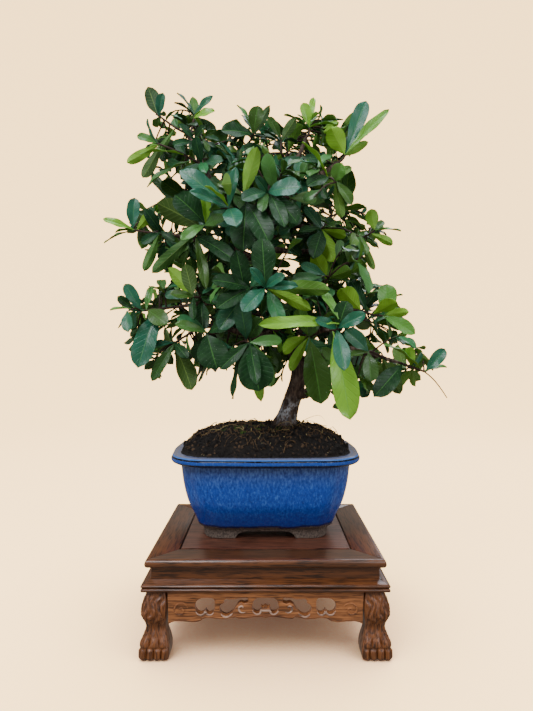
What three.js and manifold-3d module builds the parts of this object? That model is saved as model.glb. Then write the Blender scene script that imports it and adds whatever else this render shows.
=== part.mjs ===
// A scarlet firethorn bonsai in a blue glazed pot on a carved hardwood stand.
// Millimetres, +Z up, the front faces -Y. The stand's feet rest on z = 0.
// The tree's limbs, shoots and large leaves are placed from their readings in a
// front view (see at() below); the small leaves between them follow a seeded rule.

import * as THREE from "three";
import { mergeVertices } from "three/addons/utils/BufferGeometryUtils.js";
import Module from "manifold-3d";

const wasm = await Module();
wasm.setup();

// Dimensions

const GAP = 0.3;                  // clearance between neighbouring pieces

// Stand
const TOP_LENGTH = 180;           // moulded top frame, left to right
const TOP_DEPTH = 150;
const TOP_Z = 74;
const RAIL_WIDTH = 23;
const PANEL_GROOVE = 1;           // open joint between the panel and its rails
const WAIST_LENGTH = 171;
const WAIST_DEPTH = 141;
const WAIST_THICKNESS = 9;
const MOULDING_LENGTH = 185;
const MOULDING_DEPTH = 153.5;
const LEG_HEIGHT = 50.5;
const APRON_THICKNESS = 6;
const APRON_RECESS = 2.6;         // how far the apron's face lies behind the moulding
const APRON_TENON_GAP = 0.25;

// Pot
const POT_WALL = 5;
const POT_FLOOR_Z = 86;
const RIM_Z = 145;
const DRAIN_RADIUS = 10;
const DRAIN_OFFSET = 24;          // of each drainage hole from the middle
const SCREEN_SIZE = 26;
const SCREEN_THICKNESS = 1.2;
const SCREEN_OPENINGS = 2;        // along each side
const SCREEN_STRAND = 2;

// Soil
const SOIL_EDGE_Z = 144;
const SOIL_MOUND = 22;            // rise of the mound over the soil's edge

// Front view
const VIEW_UNIT = 0.88;           // millimetres to one unit, on the trunk's plane
const VIEW_MIDDLE = 265.5;        // the unit across that lies on the middle plane
const VIEW_FLOOR = 611.25;        // the unit down that lies at the stand's feet
const EYE_DISTANCE = 475;
const EYE_HEIGHT = 229;

// Leaves
const RIB_THICKNESS = 1.4;
const LEAF_WIDTH = 0.36;          // of a small leaf's length
const LEAF_BOW = 0.07;            // rise of the arched rib, of the leaf's length
const LEAF_FOLD = 0.24;           // radians that each half rises from the rib
const LEAF_SPACE = 1.5;           // room kept over and under each leaf
const GOLDEN_ANGLE = 2.39996;

// Helpers

/** A closed geometry as a solid for joining and cutting. */
function toSolid(geometry) {
  const bare = new THREE.BufferGeometry();
  bare.setAttribute("position", geometry.getAttribute("position"));
  bare.setIndex(geometry.index);
  const merged = mergeVertices(bare, 1e-4);
  const corners = merged.index.array;
  const triangles = [];
  for (let i = 0; i < corners.length; i += 3) {
    const [a, b, c] = [corners[i], corners[i + 1], corners[i + 2]];
    if (a !== b && b !== c && c !== a) triangles.push(a, b, c);
  }
  return new wasm.Manifold(new wasm.Mesh({
    numProp: 3,
    vertProperties: new Float32Array(merged.getAttribute("position").array),
    triVerts: new Uint32Array(triangles),
  }));
}

/** The geometry of a solid. */
function toGeometry(solid) {
  const mesh = solid.getMesh();
  const geometry = new THREE.BufferGeometry();
  geometry.setAttribute("position", new THREE.BufferAttribute(mesh.vertProperties, 3));
  geometry.setIndex(new THREE.BufferAttribute(mesh.triVerts, 1));
  geometry.computeVertexNormals();
  return geometry;
}

/** The largest of a solid's separate bodies. */
function largestBody(solid) {
  const bodies = solid.decompose();
  return bodies.reduce((best, body) => (body.volume() > best.volume() ? body : best));
}

/** A closed skin over rings of points, each ring counter-clockwise seen from its far end. */
function loft(rings) {
  const count = rings[0].length;
  const points = rings.flat();
  const index = [];
  for (let r = 0; r + 1 < rings.length; r += 1) {
    for (let i = 0; i < count; i += 1) {
      const a = r * count + i;
      const b = r * count + ((i + 1) % count);
      index.push(a, b, b + count, a, b + count, a + count);
    }
  }
  const middle = (ring) => ring.reduce((sum, p) => sum.add(p), new THREE.Vector3())
    .divideScalar(count);
  const start = points.push(middle(rings[0])) - 1;
  const end = points.push(middle(rings[rings.length - 1])) - 1;
  const last = (rings.length - 1) * count;
  for (let i = 0; i < count; i += 1) {
    const next = (i + 1) % count;
    index.push(start, next, i);
    index.push(end, last + i, last + next);
  }
  const geometry = new THREE.BufferGeometry().setFromPoints(points);
  geometry.setIndex(index);
  return geometry;
}

/** Applies a change to every corner of a geometry. */
function reshape(geometry, change) {
  const position = geometry.getAttribute("position");
  const point = new THREE.Vector3();
  for (let i = 0; i < position.count; i += 1) {
    point.fromBufferAttribute(position, i);
    change(point);
    position.setXYZ(i, point.x, point.y, point.z);
  }
  return geometry;
}

/** A closed outline from [x, y] pairs. */
function outline(pairs) {
  return new THREE.Shape(pairs.map(([x, y]) => new THREE.Vector2(x, y)));
}

/** A box between two corners. */
function block(low, high) {
  const size = high.map((value, i) => value - low[i]);
  const box = new THREE.BoxGeometry(...size);
  return box.translate(...low.map((value, i) => value + size[i] / 2));
}

/** The eased step from 0 to 1 of a value between two limits. */
function ease(value, low, high) {
  return THREE.MathUtils.smoothstep(value, low, high);
}

const group = new THREE.Group();

/** Adds a named piece with its colour and gloss. */
function addPiece(name, geometry, finish) {
  const mesh = new THREE.Mesh(geometry, new THREE.MeshStandardMaterial(finish));
  mesh.name = name;
  group.add(mesh);
}

const FINISH = {
  frameWood: { color: 0x5a3226, roughness: 0.4, metalness: 0 },
  panelWood: { color: 0x6b3f30, roughness: 0.4, metalness: 0 },
  carvedWood: { color: 0x5e3a28, roughness: 0.5, metalness: 0 },
  glaze: { color: 0x1f49a8, roughness: 0.15, metalness: 0 },
  soil: { color: 0x1d1713, roughness: 1, metalness: 0 },
  screen: { color: 0x222222, roughness: 0.6, metalness: 0 },
  bark: { color: 0x3a2a22, roughness: 0.9, metalness: 0 },
  leaf: { color: 0x1f5238, roughness: 0.35, metalness: 0 },
};

// Stand

const QUARTER_TURNS = {
  front: { turn: 0, along: "length" },
  right: { turn: Math.PI / 2, along: "depth" },
  back: { turn: Math.PI, along: "length" },
  left: { turn: -Math.PI / 2, along: "depth" },
};

/**
 * One side of a mitred frame. The section is drawn as [inset, z] pairs, the inset
 * measured from the frame's outer edge; both ends are cut at 45 degrees.
 */
function mitredSide(section, size, side) {
  const { turn, along } = QUARTER_TURNS[side];
  const length = size[along];
  const across = along === "length" ? size.depth : size.length;
  const drawn = outline(section);
  const bar = new THREE.ExtrudeGeometry(drawn, { depth: 1, steps: 1, bevelEnabled: false });
  reshape(bar, (p) => {
    const [inset, z, end] = [p.x, p.y, p.z];
    const half = length / 2 - inset - GAP / 2;
    p.set((end - 0.5) * 2 * half, -across / 2 + inset, z);
  });
  return bar.rotateZ(turn);
}

/** The four mitred sides of a frame, each a piece of its own. */
function addFrame(name, section, size, finish) {
  for (const side of Object.keys(QUARTER_TURNS)) {
    addPiece(`${name}_${side}`, mitredSide(section, size, side), finish);
  }
}

const TOP_RAIL_SECTION = [
  [1.4, 67], [RAIL_WIDTH, 67], [RAIL_WIDTH, 69], [RAIL_WIDTH - 4, 69],
  [RAIL_WIDTH - 4, 72], [RAIL_WIDTH, 72], [RAIL_WIDTH, TOP_Z], [2.6, TOP_Z],
  [1.2, 73.5], [0.3, 72.5], [0, 71], [0.1, 69.6], [0.5, 68.2],
];
const WAIST_SECTION = [
  [0, 58.6], [WAIST_THICKNESS, 58.6], [WAIST_THICKNESS, 66.9], [0, 66.9],
];
const MOULDING_SECTION = [
  [0.9, LEG_HEIGHT], [20, LEG_HEIGHT], [20, 58.5], [6.2, 58.5], [5.4, 57.9],
  [1.6, 56.2], [0.2, 55.4], [0, 54.6], [0.5, 53.9], [1.4, 53.4], [0.6, 52.8],
  [0.1, 52], [0.3, 51.2],
];

addFrame("stand_top_rail", TOP_RAIL_SECTION,
  { length: TOP_LENGTH, depth: TOP_DEPTH }, FINISH.frameWood);
addFrame("stand_waist_board", WAIST_SECTION,
  { length: WAIST_LENGTH, depth: WAIST_DEPTH }, FINISH.carvedWood);
addFrame("stand_moulding", MOULDING_SECTION,
  { length: MOULDING_LENGTH, depth: MOULDING_DEPTH }, FINISH.frameWood);

/** The floating panel: its tongue runs in the rails' groove, its face is flush. */
function standPanel() {
  const halfX = TOP_LENGTH / 2 - RAIL_WIDTH - PANEL_GROOVE;
  const halfY = TOP_DEPTH / 2 - RAIL_WIDTH - PANEL_GROOVE;
  const tongue = PANEL_GROOVE + 3.5;
  const face = toSolid(block([-halfX, -halfY, 67.4], [halfX, halfY, TOP_Z]));
  const tongues = toSolid(block(
    [-halfX - tongue, -halfY - tongue, 69.3],
    [halfX + tongue, halfY + tongue, 71.7],
  ));
  return toGeometry(face.add(tongues));
}

addPiece("stand_panel", standPanel(), FINISH.panelWood);

/** Where a leg lies between its inner and outer edge at each height. */
const LEG_SECTIONS = [
  { z: 0, inner: 73.5, outer: 92.2, toes: 1 },
  { z: 1.4, inner: 71.8, outer: 93.7, toes: 1 },
  { z: 7, inner: 71.4, outer: 93.6, toes: 0.9 },
  { z: 13, inner: 72.2, outer: 92.4, toes: 0.8 },
  { z: 18, inner: 73.4, outer: 90.4, toes: 0.5 },
  { z: 23, inner: 74.2, outer: 89, toes: 0.3 },
  { z: 33, inner: 73.4, outer: 92.2, toes: 0 },
  { z: 40, inner: 73.2, outer: 91.6, toes: 0 },
  { z: LEG_HEIGHT, inner: 73.2, outer: 88.4, toes: 0 },
];
const CARVED_SIDE_POINTS = 8;      // on the two outer faces, which carry the toes
const PLAIN_SIDE_POINTS = 3;
const LEG_CORNER = 3.5;           // rounding of the leg's corners
const TOE_DEPTH = 1.3;            // of the grooves between the claws
const TOES = 4;

/** A ring round one leg: a rounded square whose two outer faces are cut into toes. */
function legRing({ z, inner, outer, toes }) {
  const ring = [];
  const half = (outer - inner) / 2;
  const middle = (outer + inner) / 2;
  for (let side = 0; side < 4; side += 1) {
    const carved = side === 1 || side === 2;
    const count = carved ? CARVED_SIDE_POINTS : PLAIN_SIDE_POINTS;
    for (let i = 0; i < count; i += 1) {
      const t = i / count;
      const corner = Math.min(t, 1 - t) < 0.01 ? LEG_CORNER * 0.35 : 0;
      const wave = Math.sin(t * TOES * Math.PI) ** 2;
      const groove = carved ? toes * TOE_DEPTH * (1 - wave) : 0;
      const point = new THREE.Vector2(half - corner - groove, (t * 2 - 1) * (half - corner));
      point.rotateAround(new THREE.Vector2(), (side - 1) * Math.PI / 2);
      ring.push(new THREE.Vector3(middle + point.x, middle + point.y, z));
    }
  }
  return ring;
}

const MOULDING_INSET_Y = (MOULDING_LENGTH - MOULDING_DEPTH) / 2;

/** One leg with its knee, ankle and clawed foot, for the corner of the given signs. */
function standLeg(signX, signY) {
  const leg = loft(LEG_SECTIONS.map(legRing));
  reshape(leg, (p) => {
    p.set(p.x * signX, (p.y - MOULDING_INSET_Y) * signY, p.z);
  });
  if (signX * signY < 0) flip(leg);
  return leg;
}

/** Turns a mirrored geometry's faces outward again. */
function flip(geometry) {
  const index = geometry.index.array;
  for (let i = 0; i < index.length; i += 3) {
    [index[i + 1], index[i + 2]] = [index[i + 2], index[i + 1]];
  }
}

addPiece("stand_leg_front_left", standLeg(-1, -1), FINISH.carvedWood);
addPiece("stand_leg_front_right", standLeg(1, -1), FINISH.carvedWood);
addPiece("stand_leg_back_right", standLeg(1, 1), FINISH.carvedWood);
addPiece("stand_leg_back_left", standLeg(-1, 1), FINISH.carvedWood);

// Lower edge of the long apron from its middle to its end, as [across, z].
const APRON_EDGE = [
  [0, 30.6], [5, 31.4], [11, 30.8], [18, 30.1], [22, 31], [26, 30.6], [30, 29.7],
  [36, 29.9], [42, 30.7], [46, 30], [49, 28.2], [54, 27.5], [66, 28.2], [70, 27.4],
];
const LEG_INNER = 73.2;
const CLOUD_MIDDLE = [
  [-9.6, 37.2], [-6.4, 34.2], [-4, 35.2], [-3.3, 38.4], [3.3, 38.4], [4, 35.2],
  [6.4, 34.2], [9.6, 37.2], [9.6, 41.4], [6.6, 45.2], [-6.6, 45.2], [-9.6, 41.4],
];
const CLOUD_SIDE = [
  [12.4, 43.2], [14.4, 41.4], [19, 41.4], [22.4, 37.8], [26, 33.4], [30.6, 32.4],
  [34.2, 37.2], [31.4, 41.4], [30.4, 44.3], [24, 44.6], [14.4, 45.5],
];
const CLOUD_END = [
  [37.8, 41.4], [38.4, 36], [41.6, 33.6], [44.6, 36.4], [47.6, 33.6], [51.6, 36],
  [52.2, 40.6], [49, 44.7], [44.2, 45.5], [39, 44.8],
];

/** An outline mirrored across the middle, still counter-clockwise. */
function mirrored(pairs) {
  return pairs.map(([x, z]) => [-x, z]).reverse();
}

/** A pierced and scalloped apron between two legs. */
function apron(size, side) {
  const { turn, along } = QUARTER_TURNS[side];
  const across = along === "length" ? size.depth : size.length;
  const legInner = along === "length" ? LEG_INNER : LEG_INNER - MOULDING_INSET_Y;
  const half = legInner - APRON_TENON_GAP;
  const stretch = half / (LEG_INNER - APRON_TENON_GAP);
  const scaled = (pairs) => pairs.map(([x, z]) => [x * stretch, z]);
  const right = [...scaled(APRON_EDGE), [half, 25.4]];
  const drawn = outline([
    ...mirrored(right).slice(0, -1), ...right, [half, LEG_HEIGHT - 0.1],
    [-half, LEG_HEIGHT - 0.1],
  ]);
  for (const hole of [CLOUD_MIDDLE, CLOUD_SIDE, CLOUD_END]) {
    drawn.holes.push(outline(scaled(hole)));
    if (hole !== CLOUD_MIDDLE) drawn.holes.push(outline(scaled(mirrored(hole))));
  }
  const board = new THREE.ExtrudeGeometry(drawn, {
    depth: APRON_THICKNESS, steps: 1, bevelEnabled: false,
  });
  board.rotateX(Math.PI / 2);
  return board.translate(0, -across / 2 + APRON_RECESS + APRON_THICKNESS, 0).rotateZ(turn);
}

for (const side of Object.keys(QUARTER_TURNS)) {
  const size = { length: MOULDING_LENGTH, depth: MOULDING_DEPTH };
  addPiece(`stand_apron_${side}`, apron(size, side), FINISH.carvedWood);
}

// Pot

const CORNER_STEPS = 4;
const SIDE_STEPS = 1;

/** A ring round the pot: rounded corners and sides that bow out a little. */
function potRing({ x, y, corner, z, bow = 0 }) {
  const ring = [];
  const corners = [[1, -1], [1, 1], [-1, 1], [-1, -1]];
  corners.forEach(([signX, signY], i) => {
    const start = (i - 1) * Math.PI / 2;
    for (let k = 0; k < CORNER_STEPS; k += 1) {
      const angle = start + (k / (CORNER_STEPS - 1)) * Math.PI / 2;
      ring.push(new THREE.Vector3(
        signX * (x - corner) + Math.cos(angle) * corner,
        signY * (y - corner) + Math.sin(angle) * corner, z,
      ));
    }
    const [nextX, nextY] = corners[(i + 1) % 4];
    const outX = Math.round(Math.cos(start + Math.PI / 2));
    const outY = Math.round(Math.sin(start + Math.PI / 2));
    for (let k = 1; k <= SIDE_STEPS; k += 1) {
      const t = k / (SIDE_STEPS + 1);
      const swell = bow * 4 * t * (1 - t);
      ring.push(new THREE.Vector3(
        outX ? outX * (x + swell) : THREE.MathUtils.lerp(signX, nextX, t) * (x - corner),
        outY ? outY * (y + swell) : THREE.MathUtils.lerp(signY, nextY, t) * (y - corner), z,
      ));
    }
  });
  return ring;
}

const POT_OUTSIDE = [
  { x: 52, y: 29, corner: 15, z: TOP_Z },
  { x: 53, y: 30, corner: 16, z: 82.6 },
  { x: 56.5, y: 33.5, corner: 18, z: 84, bow: 0.4 },
  { x: 59, y: 37, corner: 20, z: 91, bow: 0.6 },
  { x: 65, y: 43.5, corner: 24, z: 105, bow: 0.9 },
  { x: 68.6, y: 47.2, corner: 26, z: 121, bow: 1.1 },
  { x: 70.4, y: 49.4, corner: 27, z: 136.8, bow: 1.2 },
  { x: 75.4, y: 54.6, corner: 30, z: 137.9, bow: 1.4 },
  { x: 77.8, y: 56.8, corner: 31, z: 139.6, bow: 1.5 },
  { x: 77.9, y: 56.9, corner: 31, z: 143.8, bow: 1.5 },
  { x: 75.6, y: 54.6, corner: 30, z: RIM_Z, bow: 1.4 },
];
const POT_INSIDE = [
  { x: 69.4, y: 48.6, corner: 27, z: RIM_Z, bow: 1.2 },
  { x: 68.2, y: 47.4, corner: 26, z: 144, bow: 1.2 },
  { x: 65.6, y: 44.8, corner: 24, z: 138, bow: 1.2 },
  { x: 63.8, y: 42.4, corner: 22, z: 121, bow: 1.1 },
  { x: 60, y: 38.6, corner: 19, z: 105, bow: 0.9 },
  { x: 54.4, y: 32.4, corner: 16, z: 91, bow: 0.6 },
  { x: 50.5, y: 28, corner: 14, z: POT_FLOOR_Z },
];

const FOOT_LENGTH = 27;           // of each corner foot along the pot's front
const FOOT_DEPTH = 19;
const ARCH_HEIGHT = 6.4;

/** The arch between two feet, run through the pot from one face to the other. */
function footArch(halfSpan, reach) {
  const arch = new THREE.Shape();
  arch.moveTo(-halfSpan, -1);
  arch.lineTo(halfSpan, -1);
  arch.lineTo(halfSpan - 1.2, ARCH_HEIGHT * 0.55);
  arch.quadraticCurveTo(halfSpan - 4, ARCH_HEIGHT, halfSpan - 10, ARCH_HEIGHT);
  arch.lineTo(10 - halfSpan, ARCH_HEIGHT);
  arch.quadraticCurveTo(4 - halfSpan, ARCH_HEIGHT, 1.2 - halfSpan, ARCH_HEIGHT * 0.55);
  const bar = new THREE.ExtrudeGeometry(arch, {
    depth: reach, bevelEnabled: false, curveSegments: 3,
  });
  return bar.rotateX(Math.PI / 2).translate(0, reach / 2, TOP_Z);
}

/** The pot: glazed walls and rim, a floor with two drainage holes, four corner feet. */
function pot() {
  const rings = [...POT_OUTSIDE, ...POT_INSIDE].map(potRing);
  let solid = toSolid(loft(rings));
  const front = POT_OUTSIDE[0];
  solid = solid.subtract(toSolid(footArch(front.x - FOOT_LENGTH, 90)));
  solid = solid.subtract(toSolid(
    footArch(front.y - FOOT_DEPTH + 2, 140).rotateZ(Math.PI / 2),
  ));
  for (const sign of [-1, 1]) {
    const drill = new THREE.CylinderGeometry(DRAIN_RADIUS, DRAIN_RADIUS, 30, 12);
    drill.rotateX(Math.PI / 2).translate(sign * DRAIN_OFFSET, 0, POT_FLOOR_Z - 5);
    solid = solid.subtract(toSolid(drill));
  }
  return toGeometry(solid);
}

addPiece("glazed_pot", pot(), FINISH.glaze);

/** A square plastic screen that keeps the soil out of a drainage hole. */
function drainScreen(sign) {
  const half = SCREEN_SIZE / 2;
  const pitch = SCREEN_SIZE / SCREEN_OPENINGS;
  const open = (pitch - SCREEN_STRAND) / 2;
  const top = SCREEN_THICKNESS;
  let screen = toSolid(block([-half, -half, 0], [half, half, top]));
  for (let i = 0; i < SCREEN_OPENINGS ** 2; i += 1) {
    const x = ((i % SCREEN_OPENINGS) + 0.5) * pitch - half;
    const y = (Math.floor(i / SCREEN_OPENINGS) + 0.5) * pitch - half;
    screen = screen.subtract(toSolid(
      block([x - open, y - open, -1], [x + open, y + open, top + 1]),
    ));
  }
  return toGeometry(screen).translate(sign * DRAIN_OFFSET, 0, POT_FLOOR_Z);
}

addPiece("drain_screen_left", drainScreen(-1), FINISH.screen);
addPiece("drain_screen_right", drainScreen(1), FINISH.screen);

// Tree

/** A point of the front view, moved back from the trunk's plane (minus is nearer). */
function at(across, down, back) {
  const reach = (EYE_DISTANCE + back) / EYE_DISTANCE;
  const x = (across - VIEW_MIDDLE) * VIEW_UNIT;
  const z = (VIEW_FLOOR - down) * VIEW_UNIT;
  return new THREE.Vector3(x * reach, back, EYE_HEIGHT + (z - EYE_HEIGHT) * reach);
}

/** Where a point lies in the front view. */
function seen(point) {
  const reach = (EYE_DISTANCE + point.y) / EYE_DISTANCE;
  return new THREE.Vector2(
    VIEW_MIDDLE + point.x / reach / VIEW_UNIT,
    VIEW_FLOOR - (EYE_HEIGHT + (point.z - EYE_HEIGHT) / reach) / VIEW_UNIT,
  );
}

/** A smooth curve through points. */
function curveThrough(points) {
  return new THREE.CatmullRomCurve3(points, false, "catmullrom", 0.5);
}

/** A round tube along a curve, its radius given at each share of the way. */
function tube(curve, radiusAt, sides, steps) {
  const rings = [];
  let side = new THREE.Vector3(1, 0, 0);
  for (let i = 0; i <= steps; i += 1) {
    const t = i / steps;
    const middle = curve.getPoint(t);
    const along = curve.getTangent(t);
    side = side.clone().addScaledVector(along, -side.dot(along)).normalize();
    const up = new THREE.Vector3().crossVectors(along, side);
    const ring = [];
    for (let k = 0; k < sides; k += 1) {
      const angle = (k / sides) * Math.PI * 2;
      const radius = radiusAt(t, angle);
      ring.push(middle.clone()
        .addScaledVector(side, Math.cos(angle) * radius)
        .addScaledVector(up, Math.sin(angle) * radius));
    }
    rings.push(ring);
  }
  return loft(rings);
}

/** The value at share t along an even list of values. */
function along(values, t) {
  const place = t * (values.length - 1);
  const i = Math.min(Math.floor(place), values.length - 2);
  return THREE.MathUtils.lerp(values[i], values[i + 1], place - i);
}

const TRUNK = {
  points: [
    at(284, 446, 0), at(284.3, 438, 0), at(284.8, 428, 0), at(287, 418, 0),
    at(290.5, 405, 0), at(296.5, 386, -1), at(299, 371, -2), at(294.5, 352, -3),
    at(286, 331, -3), at(278, 308, -2), at(270, 284, 0), at(263, 255, 0),
    at(262, 230, 0), at(266, 205, 2), at(262, 184, 4),
  ],
  radii: [9, 11.2, 11.6, 9.2, 7.9, 6.9, 6.5, 6, 5.5, 5, 4.5, 3.9, 3.4, 2.7, 1.5],
};
const ROOT_LOBES = 3;
const ROOT_SWELL = 0.14;
const TRUNK_SIDES = 10;
const TRUNK_STEPS = 15;

/** The trunk's skin, swollen into root lobes at its foot. */
function trunkTube(grow = 0) {
  const points = TRUNK.points.map((p) => p.clone());
  points[0].z -= grow;
  const radiusAt = (t, angle) => {
    const swell = ROOT_SWELL * (1 - ease(t, 0.1, 0.3)) * Math.sin(angle * ROOT_LOBES);
    return along(TRUNK.radii, t) * (1 + swell) + grow;
  };
  return tube(curveThrough(points), radiusAt, TRUNK_SIDES, TRUNK_STEPS);
}

/** A limb from the trunk outward: its radius at both ends and the points it passes. */
function limb(thick, thin, points) {
  return { curve: curveThrough(points), radii: [thick, thin] };
}

const LIMBS = {
  upper_left: limb(3.6, 1.7, [
    at(262, 229, 0), at(240, 206, -8), at(212, 182, -14), at(198, 156, -12), at(187, 133, -8)]),
  upper_right: limb(3.6, 1.7, [
    at(263, 222, 0), at(291, 197, -12), at(318, 177, -14), at(336, 164, -9)]),
  top: limb(2.9, 1.4, [
    at(266, 205, 2), at(277, 177, -3), at(297, 158, -2), at(306, 138, 0)]),
  top_back: limb(2.5, 1.3, [at(264, 193, 3), at(250, 166, 14), at(246, 145, 16)]),
  left_high: limb(3, 1.3, [
    at(264, 262, 0), at(226, 247, -6), at(188, 238, -8), at(163, 234, -7)]),
  left_mid: limb(3.2, 1.4, [
    at(275, 303, -1), at(240, 306, -14), at(206, 303, -18), at(178, 307, -16)]),
  left_low: limb(3.2, 1.5, [
    at(289, 341, -3), at(252, 336, -18), at(218, 326, -20), at(198, 328, -20)]),
  right_high: limb(3, 1.3, [
    at(263, 248, 0), at(300, 252, 10), at(334, 247, 14), at(353, 241, 12)]),
  right_mid: limb(3.2, 1.4, [
    at(273, 293, 0), at(310, 301, -8), at(343, 307, -14), at(358, 310, -15)]),
  right_low: limb(3.8, 1.3, [
    at(298, 364, -2), at(324, 352, -14), at(350, 349, -22), at(380, 357, -24),
    at(400, 363, -24)]),
  front_low: limb(3.2, 1.5, [
    at(296, 356, -3), at(302, 340, -20), at(320, 331, -40), at(330, 330, -50)]),
  front_mid: limb(3, 1.4, [at(275, 301, -2), at(271, 292, -32), at(267, 289, -56)]),
  front_high: limb(2.8, 1.4, [at(262, 240, -1), at(252, 224, -28), at(238, 213, -46)]),
  front_left: limb(3, 1.5, [at(285, 330, -3), at(262, 334, -30), at(250, 338, -46)]),
  back_low_left: limb(3.2, 1.4, [at(281, 318, 0), at(250, 312, 34), at(222, 312, 60)]),
  back_low_right: limb(3.2, 1.4, [at(288, 336, 0), at(318, 326, 32), at(348, 322, 56)]),
  back_mid: limb(3, 1.4, [at(268, 278, 2), at(266, 268, 34), at(262, 262, 62)]),
  back_right: limb(2.8, 1.3, [at(262, 240, 2), at(294, 228, 34), at(322, 222, 54)]),
  back_left: limb(2.8, 1.3, [at(262, 232, 2), at(236, 214, 30), at(208, 206, 50)]),
  back_top: limb(2.4, 1.3, [at(265, 200, 4), at(274, 178, 28), at(282, 164, 40)]),
};
const LIMB_SIDES = 5;
const LIMB_STEPS = 4;

/** Two cut stubs low on the trunk's right side. */
const STUBS = [
  limb(4.6, 4.2, [at(292, 396, -1), at(300, 394.5, -4), at(308, 393, -6)]),
  limb(1.6, 1.3, [at(297, 384, 0), at(305, 380, -1), at(311, 377.5, -2)]),
];

/** Trunk and limbs, grown as one, each tube made wider by the given amount. */
function wood(grow = 0) {
  const tubes = [...Object.values(LIMBS), ...STUBS].map(({ curve, radii }) => toSolid(
    tube(curve, (t) => along(radii, t) + grow, LIMB_SIDES, LIMB_STEPS),
  ));
  return tubes.reduce((sum, solid) => sum.add(solid), toSolid(trunkTube(grow)));
}

addPiece("trunk_and_limbs", toGeometry(wood()), FINISH.bark);

// Mound of soil

/** Height of the soil over its edge: steep at the rim and nearly level on top. */
function soilRise(x, y) {
  const spread = Math.cbrt(Math.abs(x / 68.5) ** 3 + Math.abs(y / 47.7) ** 3);
  const mound = Math.max(0, 1 - spread ** 4) ** 0.75;
  const crumbs = Math.sin(x * 0.37 + y * 0.21) * Math.cos(y * 0.43 - x * 0.13);
  return SOIL_MOUND * mound + crumbs * 1.1 * ease(1 - spread, 0, 0.2);
}

/** The soil that fills the pot, with the hole in which the trunk stands. */
function soil() {
  const bed = POT_FLOOR_Z + SCREEN_THICKNESS + GAP;
  const inset = (ring, z) => potRing({ ...ring, x: ring.x - GAP, y: ring.y - GAP, z });
  const walls = [...POT_INSIDE].reverse().slice(1, -2);
  const rings = [inset({ x: 51, y: 28.8, corner: 14, bow: 0 }, bed)];
  for (const ring of walls) rings.push(inset(ring, ring.z));
  const edge = inset({ x: 68.2, y: 47.4, corner: 26, bow: 1.2 }, SOIL_EDGE_Z);
  for (const share of [1, 0.92, 0.74, 0.4]) {
    rings.push(edge.map((p) => {
      const [x, y] = [p.x * share, p.y * share];
      return new THREE.Vector3(x, y, SOIL_EDGE_Z + soilRise(x, y));
    }));
  }
  return toGeometry(toSolid(loft(rings)).subtract(toSolid(trunkTube(GAP))));
}

addPiece("soil", soil(), FINISH.soil);

// Foliage

/** Which way a leaf's upper face turns. */
const FACE = {
  front: new THREE.Vector3(0, -1, 0.35),
  back: new THREE.Vector3(0, 0.9, 0.4),
  edge: new THREE.Vector3(0, -0.35, 1),
};

/** A large leaf: its share of the way along the twig, its tip, width and face. */
function leaf(share, tip, width, face) {
  return { share, tip, width, face };
}

/**
 * A leafy shoot: the limb it grows from and where along it, the points its twig
 * passes, the length of its small leaves, their whorls as [share of the twig,
 * number of leaves], and its large leaves.
 */
function shoot(limbName, share, points, size, whorls, leaves) {
  const start = LIMBS[limbName].curve.getPoint(share);
  return { twig: curveThrough([start, ...points]), size, whorls, leaves };
}

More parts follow.
